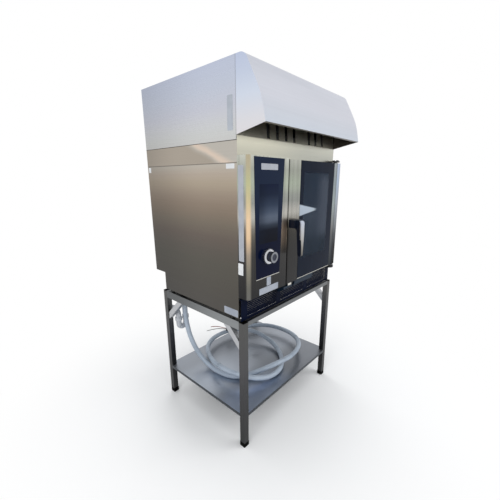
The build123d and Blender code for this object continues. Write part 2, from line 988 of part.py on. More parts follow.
def drain_trap():
    """The U of pipe below the oven that keeps the vapour in, with its outlet to the rear."""
    far = trap_x - trap_spacing
    bend = trap_spacing / 2
    left, up, back = Vector(-1, 0, 0), Vector(0, 0, 1), Vector(0, 1, 0)
    low = trap_bottom
    points = [
        (trap_x, trap_y, oven_foot_height),
        *quarter((trap_x, trap_y, low), -up, left, bend),
        *quarter((far, trap_y, low), left, up, bend)[1:],
        *quarter((far, trap_y, trap_outlet), up, back, pipe_bend),
        (far, trap_y + pipe_bend + trap_step, trap_outlet),
    ]
    trap = mitred(points, pipe_radius, body_sides)
    for x, z in ((trap_x, low + bend * 2), (far, low + bend * 2)):
        nut = Pos(x, trap_y) * RegularPolygon(trap_collar_radius, body_sides)
        trap += along_z(nut, z, z + trap_collar_length)
    end = trap_y + trap_outlet_reach
    spigot = end - trap_spigot
    nut = Pos(far, trap_outlet) * RegularPolygon(trap_collar_radius, body_sides)
    trap += along_y(nut, trap_y + pipe_bend, spigot)
    return trap + rod((far, spigot, trap_outlet), (far, end, trap_outlet), pipe_radius)


def air_baffle():
    """The plate between the cavity and the fan, with a rose of slots in front of the wheel."""
    plate = block(
        (baffle_left, baffle_front, cavity_floor), (baffle_left + sheet, baffle_rear, cavity_ceiling)
    )
    for slot in range(baffle_slots):
        turn = 360 * slot / baffle_slots
        cut = block(
            (baffle_left - overrun, -baffle_slot_width / 2, baffle_slot_inner),
            (baffle_left + overrun, baffle_slot_width / 2, baffle_slot_outer),
        )
        plate -= Pos(0, fan_y, fan_z) * Rot(turn, 0, 0) * cut
    return plate


def blade_face(inner, outer, turn, bow, thickness):
    """One blade's section: bent once between the inner radius and the outer, thickened."""
    swing = math.radians(turn)
    start = (inner, 0)
    end = (outer * math.cos(swing), outer * math.sin(swing))
    middle = ((start[0] + end[0]) / 2 + bow, (start[1] + end[1]) / 2 - bow)
    return folded(Polyline(start, middle, end), Side.LEFT, thickness)


def fan_wheel():
    """The hot-air wheel: a back plate, curved blades, a front ring, and the shaft it is on."""
    centre = Pos(0, fan_y, fan_z)
    disc = RegularPolygon(fan_radius, round_sides)
    eye = disc - RegularPolygon(fan_inner_radius, round_sides)
    plate = along_x(disc, fan_back, fan_back + fan_disc)
    front = along_x(eye, fan_front - fan_disc, fan_front)
    wheel = plate + front
    face = blade_face(
        fan_inner_radius, fan_radius - fan_blade_thickness, fan_blade_turn, fan_blade_bow,
        fan_blade_thickness,
    )
    for blade in range(fan_blades):
        turned = Rot(0, 0, 360 * blade / fan_blades) * face
        wheel += along_x(turned, fan_back + fan_disc, fan_front - fan_disc)
    middle = (fan_back + fan_front) / 2
    wheel += along_x(RegularPolygon(fan_hub, body_sides), fan_back, middle)
    wheel += along_x(Circle(fan_shaft_radius), fan_shaft_start, fan_back)
    return centre * wheel


def fan_motor():
    """The motor outside the cavity's left wall, with the boss that its shaft comes through."""
    wall = fan_chamber_left - sheet
    centre = Pos(0, fan_y, fan_z)
    neck = wall - motor_stub
    motor = along_x(RegularPolygon(motor_radius, body_sides), neck - motor_length, neck)
    motor += along_x(Circle(motor_boss_radius), neck, fan_chamber_left + motor_boss_reach)
    motor += along_x(Rectangle(motor_flange_size, motor_flange_size), wall - motor_flange, wall)
    motor += along_x(RegularPolygon(motor_radius / 2, body_sides), neck, wall)
    bore = fan_shaft_radius + pin_gap
    motor -= along_x(Circle(bore), fan_shaft_start - overrun, fan_chamber_left + overrun * 3)
    return centre * motor


def coil_start(place):
    """Where a heating ring's first lead goes through the wall, in y and z."""
    return fan_y + coil_ring(place), fan_z


def coil_end(place):
    turn = math.radians(coil_sweep)
    radius = coil_ring(place)
    return fan_y + radius * math.cos(turn), fan_z + radius * math.sin(turn)


def coil_ring(place):
    return coil_radius + place * coil_tube * 3


def heating_elements():
    """Two rings of heating tube round the wheel, each with both ends led out through the wall."""
    rings = []
    for place, x in enumerate(coil_places):
        radius = coil_ring(place)
        turns = [math.radians(coil_sweep * run / coil_runs) for run in range(coil_runs + 1)]
        points = [
            (x, fan_y + radius * math.cos(turn), fan_z + radius * math.sin(turn)) for turn in turns
        ]
        body = mitred(points, coil_tube, coil_sides)
        out = fan_chamber_left - sheet - motor_stub
        for y, z in (coil_start(place), coil_end(place)):
            lead = Pos(y, z) * RegularPolygon(coil_tube, coil_sides)
            body += along_x(lead, out, x + coil_tube)
        rings.append(body)
    return joined(rings)


def hanging_racks():
    """A ladder of square bar on each side of the cavity, with folded rails for the trays."""
    racks = []
    for wall, way in ((baffle_left + sheet, 1), (mouth_right, -1)):
        x = wall + way * rack_post_gap
        rack = None
        for y in (rack_front + rack_rail_width, rack_rear - rack_rail_width):
            bar = rack_bar / 2
            post = block((x - bar, y - bar, rack_foot), (x + bar, y + bar, rack_head))
            for z in (rack_foot + rack_rail_width, rack_head - rack_rail_width):
                near, far = min(wall, x), max(wall, x)
                post += block((near, y - bar, z - bar), (far, y + bar, z + bar))
            rack = post if rack is None else rack + post
        for level in range(rack_levels):
            z = rack_first + level * rack_pitch
            near, far = x + way * sheet, x + way * rack_rail_width
            path = Polyline((near, z + rack_rail_height), (near, z), (far, z))
            side = Side.LEFT if way > 0 else Side.RIGHT
            rack += along_y(folded(path, side), rack_front, rack_rear)
        racks.append(rack)
    return joined(racks)


def door_gasket():
    """The seal round the mouth, which the door's inner pane presses on."""
    front = frame_back + glass_thickness + running_gap
    return mouth_cut(front, 0, gasket_width) - mouth_cut(front - overrun, overrun)


def boiler():
    """The steam boiler, standing on the rear ledge."""
    foot = notch_top + sheet
    section = Pos(boiler_x, boiler_y) * RegularPolygon(boiler_radius, round_sides)
    shell = along_z(section, foot, foot + boiler_height)
    return chamfer(shell.edges().group_by(Axis.Z)[-1], boiler_dome)


def power_module():
    """A plate on the left side panel with its row of contactors."""
    wall = -inner_half
    head = relay_plate_foot + relay_plate_height
    rear = relay_plate_front + relay_plate_length
    module = block((wall, relay_plate_front, relay_plate_foot), (wall + sheet, rear, head))
    pitch = relay_plate_length / relay_blocks
    margin = (pitch - relay_block) / 2
    for place in range(relay_blocks):
        front = relay_plate_front + margin + place * pitch
        low = (wall + sheet, front, relay_plate_foot + margin)
        high = (wall + sheet + relay_block_depth, front + relay_block, head - margin)
        module += block(low, high)
    return module


def water_inlets():
    """Two threaded brass stubs in the rear notch, for the soft and the plain water."""
    stubs = []
    for x in inlet_places:
        start, end = notch_front, notch_front + inlet_length
        stub = rod((x, start, inlet_z), (x, end, inlet_z), inlet_radius)
        nut = Pos(x, inlet_z) * RegularPolygon(inlet_flange_radius, spanner_sides)
        stub += along_y(nut, start, start + inlet_flange)
        bore = Pos(x, inlet_z) * RegularPolygon(inlet_bore, body_sides)
        stubs.append(stub - along_y(bore, start, end))
    return joined(stubs)


# Door


def door_rounding():
    """The door's outline seen from the front, with its two outer corners rounded."""
    low = (door_right_strip - overrun, -front_plane - overrun, door_foot)
    shape = block(low, (half, overrun, door_head))
    corners = shape.edges().filter_by(Axis.Y).group_by(Axis.X)[-1]
    return fillet(corners, door_corner)


def door_left_profile():
    """The stainless stile at the handle's side, folded round the door's edge."""
    path = FilletPolyline(
        (door_left_strip_edge, glass_back),
        (door_left_strip_edge, -front_plane),
        (door_left, -front_plane),
        (door_left, -door_back - sheet),
        (door_left + door_back_flange, -door_back - sheet),
        radius=[door_fold, door_fold, door_fold],
    )
    stile = along_z(folded(path, Side.RIGHT), door_profile_foot, door_head)
    start = (handle_x, -front_plane - overrun, handle_z)
    return stile - rod(start, (handle_x, glass_back, handle_z), latch_radius + running_gap)


def door_right_profile():
    """The stile at the hinges, rolled into a half round about the hinge line."""
    top, bottom = -front_plane, -front_plane + 2 * door_nose
    straight_in = Line((door_right_strip, glass_back), (door_right_strip, top))
    straight_front = Line((door_right_strip, top), (hinge_x, top))
    nose = ThreePointArc((hinge_x, top), (half, hinge_y), (hinge_x, bottom))
    straight_back = Line((hinge_x, bottom), (hinge_x - door_back_flange, bottom))
    path = Wire([straight_in, straight_front, nose, straight_back])
    stile = along_z(folded(path, Side.LEFT), door_foot, door_head)
    return stile & door_rounding()


def door_frame():
    """The welded ring inside the door, open at the back, with the trim under the glass."""
    left, right = door_left + sheet, frame_right
    foot, head = door_foot, door_head - sheet
    frame = block((left, glass_back, foot), (right, frame_back, head))
    middle = Pos((window_left + window_right) / 2, (window_foot + window_head) / 2)
    width, height = window_right - window_left, window_head - window_foot
    window = middle * RectangleRounded(width, height, window_corner)
    land = middle * RectangleRounded(
        width + 2 * sheet, height + 2 * sheet, window_corner + sheet
    )
    hollow = block(
        (left + sheet, glass_back + sheet, foot + sheet),
        (right - sheet, frame_back + overrun, head - sheet),
    )
    hollow -= along_y(land, glass_back, frame_back + overrun)
    frame = frame - hollow - along_y(window, glass_back - overrun, frame_back + overrun)
    trim_low = (door_left_strip_edge, -front_plane, foot)
    frame += block(trim_low, (door_right_strip, glass_back, foot + glass_foot_trim))
    start = (handle_x, glass_back - overrun, handle_z)
    end = (handle_x, glass_back + overrun, handle_z)
    return frame - rod(start, end, latch_radius + pin_gap)


def outer_glass():
    low = (door_left_strip_edge + glass_side_gap, -front_plane, door_foot + glass_foot_trim)
    return block(low, (door_right_strip - glass_side_gap, glass_back, door_head))


def inner_glass():
    """The inner pane, which closes the back of the frame and meets the seal."""
    foot = door_foot + inner_glass_margin
    head = door_head - inner_glass_margin
    middle = Pos((inner_glass_left + inner_glass_right) / 2, (foot + head) / 2)
    width = inner_glass_right - inner_glass_left
    pane = middle * RectangleRounded(width, head - foot, inner_glass_corner)
    return along_y(pane, frame_back, frame_back + glass_thickness)


def door_hinge_blocks():
    """Blocks in the stile's two ends, bored for the hinge pins."""
    section = Pos(hinge_x, hinge_y) * Circle(hinge_block_radius)
    section += outline(
        [
            (frame_right, hinge_y - hinge_block_radius),
            (hinge_x, hinge_y - hinge_block_radius),
            (hinge_x, hinge_y + hinge_block_radius),
            (frame_right, hinge_y + hinge_block_radius),
        ]
    )
    section -= Pos(hinge_x, hinge_y) * Circle(hinge_pin_radius + pin_gap)
    lower = along_z(section, door_foot, door_foot + hinge_block_height)
    upper = along_z(section, door_head - hinge_block_height, door_head)
    rounding = door_rounding()
    return joined([lower & rounding, upper & rounding])


def hinge_brackets():
    """The fixed halves: a leaf on the bulkhead, a tongue over or under the door, and its pin."""
    brackets = []
    for face, way in ((door_foot, -1), (door_head, 1)):
        seat = face + way * (hinge_washer + running_gap)
        far = seat + way * hinge_tongue
        tongue = Pos(hinge_x, hinge_y) * Circle(hinge_block_radius)
        tongue += outline(
            [
                (hinge_x - hinge_leaf_width / 2, hinge_y),
                (hinge_x + hinge_leaf_width / 2, hinge_y),
                (hinge_x + hinge_leaf_width / 2, 0),
                (hinge_x - hinge_leaf_width / 2, 0),
            ]
        )
        bracket = along_z(tongue, min(seat, far), max(seat, far))
        tip = seat - way * (hinge_pin_length + hinge_washer)
        bracket += rod((hinge_x, hinge_y, seat), (hinge_x, hinge_y, tip), hinge_pin_radius)
        land = seat - way * hinge_washer
        bracket += rod((hinge_x, hinge_y, seat), (hinge_x, hinge_y, land), hinge_washer_radius)
        end = far - way * hinge_leaf_length
        low = (hinge_x - hinge_leaf_width / 2, -hinge_leaf, min(far, end))
        bracket += block(low, (hinge_x + hinge_leaf_width / 2, 0, max(far, end)))
        brackets.append(bracket)
    return joined(brackets)


def hinge_covers():
    """The black cap below the lower hinge and the two bolt heads on the upper one."""
    foot = door_foot - hinge_washer - running_gap - hinge_tongue
    cap = rod(
        (hinge_x, hinge_y, foot - hinge_cap_height), (hinge_x, hinge_y, foot), hinge_cap_radius
    )
    low = (hinge_x - half, -plinth_set_forward - running_gap, foot - hinge_cap_height - overrun)
    cap -= block(low, (hinge_x + half, overrun, foot + overrun))
    pieces = [cap]
    top = door_head + hinge_washer + running_gap + hinge_tongue
    for back in (0, hinge_bolt_spacing):
        y = hinge_y - hinge_bolt_spacing / 2 + back
        head = Pos(hinge_x, y) * RegularPolygon(hinge_bolt_radius, spanner_sides)
        pieces.append(along_z(head, top, top + hinge_bolt_height))
    return joined(pieces)


def handle_lever():
    """The black lever: a square hub, a bend forward, and a grip that narrows downwards."""
    hub_back = -front_plane - running_gap
    hub_front = -front_plane - hub_depth
    tip_back = -grip_front + grip_tip_depth
    top, under = handle_z + hub_height / 2, handle_z - hub_height / 2
    path = Polyline(
        (hub_back, top), (-grip_front, top), (-grip_front, grip_foot), (tip_back, grip_foot),
        (hub_front, under), (hub_back, under), close=True,
    )
    side = make_face(path)
    bends = (
        ((-grip_front, top), grip_outer_bend),
        ((-grip_front, grip_foot), grip_tip_bend),
        ((tip_back, grip_foot), grip_tip_bend),
        ((hub_front, under), grip_inner_bend),
    )
    for place, radius in bends:
        corner = side.vertices().sort_by_distance((*place, 0))[0]
        side = fillet(corner, radius)
    wide, narrow = grip_width / 2, grip_foot_width / 2
    grip = along_x(side, handle_x - wide, handle_x + wide)
    taper = outline(
        [
            (handle_x - narrow, grip_foot - overrun),
            (handle_x + narrow, grip_foot - overrun),
            (handle_x + wide, under),
            (handle_x + wide, top + overrun),
            (handle_x - wide, top + overrun),
            (handle_x - wide, under),
        ]
    )
    grip &= along_y(taper, -grip_front - overrun, 0)
    hub = along_y(
        Pos(handle_x, handle_z) * RectangleRounded(hub_width, hub_height, hub_corner),
        hub_front, hub_back,
    )
    lever = grip + hub
    start = (handle_x, -front_plane - hub_depth + hub_corner, handle_z)
    return lever - rod(start, (handle_x, 0, handle_z), latch_radius)


def handle_strip():
    """The stainless inlay down the front of the grip."""
    top = handle_z + hub_height / 2 - grip_outer_bend
    foot = grip_foot + grip_tip_bend
    face = outline(
        [
            (handle_x - strip_foot_width / 2, foot),
            (handle_x + strip_foot_width / 2, foot),
            (handle_x + strip_width / 2, top),
            (handle_x - strip_width / 2, top),
        ]
    )
    return along_y(face, -grip_front - strip_thickness, -grip_front)


def latch_spindle():
    """The square-ended spindle through the door, with the oval cam behind it."""
    start = (handle_x, -front_plane - hub_depth + hub_corner, handle_z)
    end = (handle_x, cam_front + cam_thickness, handle_z)
    spindle = rod(start, end, latch_radius)
    cam = Pos(handle_x, handle_z) * Ellipse(cam_half_width, cam_half_length)
    return spindle + along_y(cam, cam_front, cam_front + cam_thickness)


def latch_catch():
    """The keeper behind the bulkhead, with a pin above and below the cam."""
    reach = cam_half_length + catch_clearance + catch_pin
    outside = reach + catch_pin + sheet
    back = sheet + catch_depth
    path = Polyline(
        (sheet, handle_z + outside), (back, handle_z + outside), (back, handle_z - outside),
        (sheet, handle_z - outside),
    )
    left, right = handle_x - catch_width / 2, handle_x + catch_width / 2
    keeper = along_x(folded(path, Side.RIGHT), left, right)
    y = cam_front + cam_thickness / 2
    for z in (handle_z + reach, handle_z - reach):
        pin = along_x(Pos(y, z) * RegularPolygon(catch_pin, pipe_sides), left, right)
        web = block((left, y - sheet / 2, min(z, handle_z + math.copysign(outside, z - handle_z))),
                    (right, y + sheet / 2, max(z, handle_z + math.copysign(outside, z - handle_z))))
        keeper += pin + web
    return keeper


# Hood


def hood_spacer():
    """The band between the oven and the hood: two sides and a back, folded from one strip."""
    path = Polyline((-half, 0), (-half, oven_depth), (half, oven_depth), (half, 0))
    return along_z(folded(path, Side.RIGHT), oven_top, spacer_top)


def hood_casing():
    """The hood's sides, back and top, with vents high in the back."""
    path = Polyline((-half, 0), (-half, oven_depth), (half, oven_depth), (half, 0))
    casing = along_z(folded(path, Side.RIGHT), spacer_top, hood_top)
    low = (-inner_half, 0, hood_top - sheet)
    casing += block(low, (inner_half, oven_depth - sheet, hood_top))
    for row in range(vent_rows):
        top = hood_top - vent_top_margin - row * vent_pitch
        low = (-vent_length / 2, oven_depth - sheet - overrun, top - vent_height)
        casing -= block(low, (vent_length / 2, oven_depth + overrun, top))
    return casing


def canopy_profile():
    """The corners of the canopy's front in y and z, with the radius at each bend."""
    corners = [
        (0, hood_top),
        (-canopy_shoulder, hood_top),
        (-canopy_belly, canopy_belly_height),
        (-canopy_reach, canopy_tip),
    ]
    return corners, [canopy_top_bend, canopy_belly_bend]


def hood_canopy():
    """The canopy over the door: a bowed front sheet with a turned-in lip, and two cheeks."""
    corners, bends = canopy_profile()
    bow = FilletPolyline(*corners, radius=bends)
    lip = (-canopy_reach + canopy_lip, canopy_tip)
    path = FilletPolyline(*corners, lip, radius=[*bends, canopy_lip_bend])
    front = along_x(folded(path, Side.LEFT), -half, half)
    foot = Line(corners[-1], (0, cheek_foot))
    back = Line((0, cheek_foot), corners[0])
    cheek = make_face(Wire([*bow.edges(), foot, back]))
    front += along_x(cheek, inner_half, half)
    return front + along_x(cheek, -half, -inner_half)


def fascia_back(z):
    """How far back the leaning part of the fascia has gone at a height."""
    return fascia_lean * (z - fascia_bend) / (hood_top - sheet - fascia_bend)


def hood_fascia():
    """The band above the door, which leans back under the canopy as the slotted intake."""
    path = Polyline((0, oven_top), (0, fascia_bend), (fascia_lean, hood_top - sheet))
    fascia = along_x(folded(path, Side.RIGHT), -inner_half, inner_half)
    room = block(
        (-half, -overrun, oven_top), (half, oven_depth, hood_top - sheet)
    )
    fascia &= room
    for place in slot_places:
        middle = slot_offset + place * slot_pitch
        low = (middle - slot_width / 2, -overrun, fascia_bend + slot_foot)
        high = (middle + slot_width / 2, fascia_lean + overrun, hood_top - slot_head)
        fascia -= block(low, high)
    return fascia


def hood_filter():
    """The grease filter: a rim and upright blades, leaning against the slotted intake."""
    gap = sheet + 2 * running_gap

    def section(low, high, near, far):
        return outline(
            [
                (fascia_back(low) + near, low),
                (fascia_back(low) + far, low),
                (fascia_back(high) + far, high),
                (fascia_back(high) + near, high),
            ]
        )

    whole = section(filter_foot, filter_head, gap, gap + filter_depth)
    side = filter_width / 2
    cassette = along_x(whole, -side, side)
    hole = section(filter_foot + filter_rim, filter_head - filter_rim, 0, 2 * filter_depth)
    cassette -= along_x(hole, -side + filter_rim, side - filter_rim)
    pitch = (filter_width - 2 * filter_rim) / filter_blades
    for blade in range(filter_blades):
        left = -side + filter_rim + (blade + 1 / 2) * pitch - filter_blade_width / 2
        near = gap + (blade % 2) * filter_depth / 2
        slat = section(
            filter_foot + filter_rim / 2, filter_head - filter_rim / 2, near + sheet,
            near + 2 * sheet,
        )
        cassette += along_x(slat, left, left + filter_blade_width)
    return cassette


def hood_fan_motor():
    body = Pos(hood_fan_x, hood_fan_y) * RegularPolygon(hood_motor_radius, body_sides)
    motor = along_z(body, hood_motor_foot, hood_top - sheet)
    bore = rod(
        (hood_fan_x, hood_fan_y, hood_motor_foot - overrun),
        (hood_fan_x, hood_fan_y, hood_shaft_top + overrun), hood_shaft_radius + pin_gap,
    )
    return motor - bore


def hood_fan():
    """The hood's impeller: a plate, an eye ring and blades that curve back."""
    disc = RegularPolygon(hood_fan_radius, round_sides)
    wheel = along_z(disc, hood_fan_head - fan_disc, hood_fan_head)
    eye = disc - RegularPolygon(hood_fan_eye, round_sides)
    wheel += along_z(eye, hood_fan_foot, hood_fan_foot + fan_disc)
    face = blade_face(
        hood_fan_eye, hood_fan_radius - fan_blade_thickness, -hood_fan_blade_turn,
        hood_fan_blade_bow, fan_blade_thickness,
    )
    for blade in range(hood_fan_blades):
        turned = Rot(0, 0, 360 * blade / hood_fan_blades) * face
        wheel += along_z(turned, hood_fan_foot + fan_disc, hood_fan_head - fan_disc)
    middle = (hood_fan_foot + hood_fan_head) / 2
    wheel += along_z(RegularPolygon(hood_fan_hub, body_sides), middle, hood_fan_head)
    wheel += along_z(Circle(hood_shaft_radius), hood_fan_head, hood_shaft_top)
    return Pos(hood_fan_x, hood_fan_y, 0) * wheel


# Conduit


def stretched(route):
    """A stretch of the conduit's route, fitted to the casing's width and depth."""
    return [(x * across_stretch, y * along_stretch, z) for x, y, z in route]


def drop_points():
    mouth = oven_foot_height - gland_flange - gland_nut
    return [(conduit_x, conduit_y, mouth), *stretched(drop_route)]


def loop_points():
    return stretched(loop_route)


def bend_radii(points):
    """One radius for each corner: as large as its two runs allow."""
    radii = []
    for before, corner, after in zip(points, points[1:], points[2:]):
        into = Vector(*corner) - Vector(*before)
        out = Vector(*after) - Vector(*corner)
        half_turn = math.radians(into.get_angle(out) / 2)
        radii.append(bend_share * min(into.length, out.length) / math.tan(half_turn))
    return radii


def cord_path(points):
    return FilletPolyline(*points, radius=bend_radii(points))


def conduit_path(points, first):
    """A stretch of the conduit, with the radii that its corners have in the whole route."""
    radii = bend_radii([*drop_points(), *loop_points()])
    return FilletPolyline(*points, radius=radii[first:first + len(points) - 2])


def cord_tube(path, radius, sides):
    """A tube along a path, with flat facets so that its long bends stay light."""
    face = RegularPolygon(radius, sides)
    return sweep(Plane(origin=path @ 0, z_dir=path % 0) * face, path=path)


def meeting_point():
    """Where the hanging stretch hands over to the loops, in the middle of a straight run."""
    return (Vector(*drop_points()[-1]) + Vector(*loop_points()[0])) / 2


def drop_path():
    return conduit_path([*drop_points(), tuple(meeting_point())], 0)


def loops_path():
    return conduit_path([tuple(meeting_point()), *loop_points()], len(drop_route))


def conduit_drop():
    return cord_tube(drop_path(), conduit_radius, conduit_sides)


def conduit_loops():
    return cord_tube(loops_path(), conduit_radius, conduit_sides)


def conduit_gland():
    """The cable gland under the base pan: a six-sided flange and the nut below it."""
    top = oven_foot_height
    nut = top - gland_flange
    end = nut - gland_nut
    centre = Pos(conduit_x, conduit_y)
    gland = along_z(centre * RegularPolygon(gland_radius, spanner_sides), nut, top)
    return gland + along_z(centre * RegularPolygon(gland_nut_radius, spanner_sides), end, nut)


def conduit_end():
    """The black sleeve on the cord's loose end and the two bare-ended conductors in it."""
    before, tip = [Vector(*point) for point in loop_points()[-2:]]
    way = (tip - before).normalized()
    mouth = tip + way * sleeve_length
    pieces = [rod(tuple(tip), tuple(mouth), sleeve_radius)]
    aside = way.cross(Vector(0, 0, 1)).normalized() * wire_spread
    for start, route in ((mouth + aside, live_route), (mouth - aside, return_route)):
        points = [tuple(start + Vector(*step)) for step in route]
        pieces.append(cord_tube(cord_path(points), wire_radius, wire_sides))
    return joined(pieces)


def report_cord():
    """Print the cord's radii, its length, its volume against its section, and its least gap."""
    points = [*drop_points(), *loop_points()]
    print("conduit radii", [round(radius) for radius in bend_radii(points)])
    for name, path in (("conduit_drop", drop_path()), ("conduit_loops", loops_path())):
        solid = cord_tube(path, conduit_radius, conduit_sides)
        section = RegularPolygon(conduit_radius, conduit_sides).area
        print(name, "length", round(path.length), "volume over section times length",
              round(solid.volume / (section * path.length), 4))
    whole = cord_path(points)
    print("conduit whole length", round(whole.length))
    count = int(whole.length / (conduit_radius / 2))
    places = [whole @ (step / count) for step in range(count + 1)]
    apart = int(3 * conduit_radius * count / whole.length) * 2
    least = min(
        (places[one] - places[other]).length
        for one in range(0, count)
        for other in range(one + apart, count + 1)
    )
    print("conduit least gap to itself", round(least - 2 * conduit_radius, 1))


pieces = {
    "stand_legs": stand_legs,
    "stand_rails": stand_rails,
    "stand_braces": stand_braces,
    "stand_shelf": stand_shelf,
    "stand_end_caps": stand_end_caps,
    "oven_feet": oven_feet,
    "base_pan": base_pan,
    "right_side_panel": side_panel,
    "left_side_panel": lambda: mirrored(side_panel()),
    "rear_cover": rear_cover,
    "top_panel": top_panel,
    "front_frame": front_frame,
    "plinth_grille": plinth_grille,
    "drip_tray": drip_tray,
    "console_housing": console_housing,
    "control_glass": control_glass,
    "display_module": display_module,
    "control_board": control_board,
    "dial_bezel": dial_bezel,
    "dial_encoder": dial_encoder,
    "encoder_plunger": encoder_plunger,
    "dial_knob": dial_knob,
    "dial_ring": dial_ring,
    "cavity_liner": cavity_liner,
    "cavity_insulation": cavity_insulation,
    "drain_strainer": drain_strainer,
    "drain_pipe": drain_pipe,
    "drain_trap": drain_trap,
    "air_baffle": air_baffle,
    "fan_wheel": fan_wheel,
    "fan_motor": fan_motor,
    "heating_elements": heating_elements,
    "hanging_racks": hanging_racks,
    "door_gasket": door_gasket,
    "boiler": boiler,
    "power_module": power_module,
    "water_inlets": water_inlets,
    "door_left_profile": door_left_profile,
    "door_right_profile": door_right_profile,
    "door_frame": door_frame,
    "outer_glass": outer_glass,
    "inner_glass": inner_glass,
    "door_hinge_blocks": door_hinge_blocks,
    "hinge_brackets": hinge_brackets,
    "hinge_covers": hinge_covers,
    "handle_lever": handle_lever,
    "handle_strip": handle_strip,
    "latch_spindle": latch_spindle,
    "latch_catch": latch_catch,
    "hood_spacer": hood_spacer,
    "hood_casing": hood_casing,
    "hood_canopy": hood_canopy,
    "hood_fascia": hood_fascia,
    "hood_filter": hood_filter,
    "hood_fan": hood_fan,
    "hood_fan_motor": hood_fan_motor,
    "conduit_gland": conduit_gland,
    "conduit_drop": conduit_drop,
    "conduit_loops": conduit_loops,
    "conduit_end": conduit_end,
}

if __name__ == "__main__":
    os.makedirs("parts", exist_ok=True)
    home = Pos(0, -middle_y, stand_height)
    for name, make in pieces.items():
        export_step(home * make(), f"parts/{name}.step")
    report_cord()
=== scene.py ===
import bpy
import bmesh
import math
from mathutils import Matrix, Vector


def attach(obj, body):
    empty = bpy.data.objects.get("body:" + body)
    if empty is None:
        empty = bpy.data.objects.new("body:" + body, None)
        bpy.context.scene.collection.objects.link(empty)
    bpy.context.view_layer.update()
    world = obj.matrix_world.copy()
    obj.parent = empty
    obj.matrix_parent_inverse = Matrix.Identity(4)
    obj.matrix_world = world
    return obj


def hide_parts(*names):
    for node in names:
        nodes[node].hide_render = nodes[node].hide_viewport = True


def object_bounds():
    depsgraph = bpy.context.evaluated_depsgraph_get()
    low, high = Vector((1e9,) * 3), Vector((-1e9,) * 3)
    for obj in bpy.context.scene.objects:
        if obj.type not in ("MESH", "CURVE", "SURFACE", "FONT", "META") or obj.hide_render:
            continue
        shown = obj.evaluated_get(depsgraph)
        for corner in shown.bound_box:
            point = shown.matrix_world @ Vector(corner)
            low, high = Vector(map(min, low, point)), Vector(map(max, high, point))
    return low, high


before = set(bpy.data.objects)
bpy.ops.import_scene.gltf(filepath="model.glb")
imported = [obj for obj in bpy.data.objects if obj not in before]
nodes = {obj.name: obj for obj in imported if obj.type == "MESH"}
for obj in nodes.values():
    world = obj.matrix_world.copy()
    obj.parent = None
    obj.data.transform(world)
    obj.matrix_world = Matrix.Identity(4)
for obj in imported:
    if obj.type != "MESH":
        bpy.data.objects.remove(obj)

# %% [markdown]
# This lesson dresses a small combi oven in Blender. The oven stands on an open tube stand and has
# an extraction hood on its head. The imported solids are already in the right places, so the work
# here is finishes, soft light, and the few pieces that show more than the solids do: the ribbed
# conduit, the tapered panel, the dial's collar, the lever's leaf, the blank labels and the trim.

cad_low, cad_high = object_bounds()
millimetre = 0.001
depth_shift = 218.5
stand_height = 565.0
casing_half = 327.5
console_front = -49.0


def place(x, y, z):
    """A point of the oven's drawing, in millimetres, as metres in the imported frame."""
    return Vector((x, y - depth_shift, z + stand_height)) * millimetre


print("packed model from", [round(v, 4) for v in cad_low], "to", [round(v, 4) for v in cad_high])

# %% [markdown]
# The camera comes first, because everything else is judged through it. A photograph's viewpoint can
# be found by matching known corners. This one stands to the front left, 1.4 m from the oven's
# middle, as high as the console's upper part, and looks down by about 15 degrees.

# %% Camera
picture_width = 500
focal_pixels = 294.7
middle_column, middle_row = 253.3, 257.0
camera_data = bpy.data.cameras.new("oven_camera")
camera_data.sensor_width = 36.0
camera_data.lens = 36.0 * focal_pixels / picture_width
camera_data.shift_x = (picture_width / 2 - middle_column) / picture_width
camera_data.shift_y = (middle_row - picture_width / 2) / picture_width
camera_data.clip_start = 0.01
camera = bpy.data.objects.new("oven_camera", camera_data)
bpy.context.scene.collection.objects.link(camera)
camera.location = place(-1037.7, -703.6, 511.2)
ahead = Vector((0.72238, 0.64296, -0.25449))
camera.rotation_euler = ahead.to_track_quat("-Z", "Y").to_euler()
bpy.context.scene.camera = camera
print("camera at", [round(v, 3) for v in camera.location], "lens", round(camera_data.lens, 2))

# %% [markdown]
# Light in a product picture is large and soft, so that steel shows broad, calm bands. Area lamps do
# this. A sun would draw hard edges, and a bright world alone would flatten the folds. The lamps are
# hidden from glossy rays, because their own mirror images would burn white spots into the hood.

# %% Lamps
scene = bpy.context.scene
scene.view_settings.view_transform = "Standard"


def lamp(name, position, target, width, height, power):
    """A soft rectangle of light. Sizes are in metres, power is in watts."""
    data = bpy.data.lights.new(name, "AREA")
    data.shape = "RECTANGLE"
    data.size = width
    data.size_y = height
    data.energy = power
    thing = bpy.data.objects.new(name, data)
    scene.collection.objects.link(thing)
    thing.location = position
    way = Vector(target) - Vector(position)
    thing.rotation_euler = way.to_track_quat("-Z", "Y").to_euler()
    thing.visible_glossy = False
    return thing


lamps = [
    lamp("lamp_left", (-2.6, -1.0, 2.2), (0, 0, 0.8), 2.2, 2.2, 34),
    lamp("lamp_front", (1.6, -2.8, 2.4), (0, 0, 0.9), 2.4, 2.0, 44),
    lamp("lamp_top", (0.2, 0.4, 3.2), (0, 0, 1.0), 3.0, 3.0, 30),
    lamp("lamp_back", (1.5, 2.8, 1.8), (0, 0, 0.8), 2.0, 2.0, 22),
]
print(len(lamps), "soft lamps")

# %% [markdown]
# A shader is a sum of small nodes, and sums are easiest to read as sums. The class below wraps an
# output socket, so that `1 - mask` or `grain * 0.1` adds the Math nodes. Each finish, and the world
# too, is made by one Finish object, whose node method takes a node's type, settings and sockets.


# %% Sockets that can be added and multiplied
maths_node = "ShaderNodeMath"


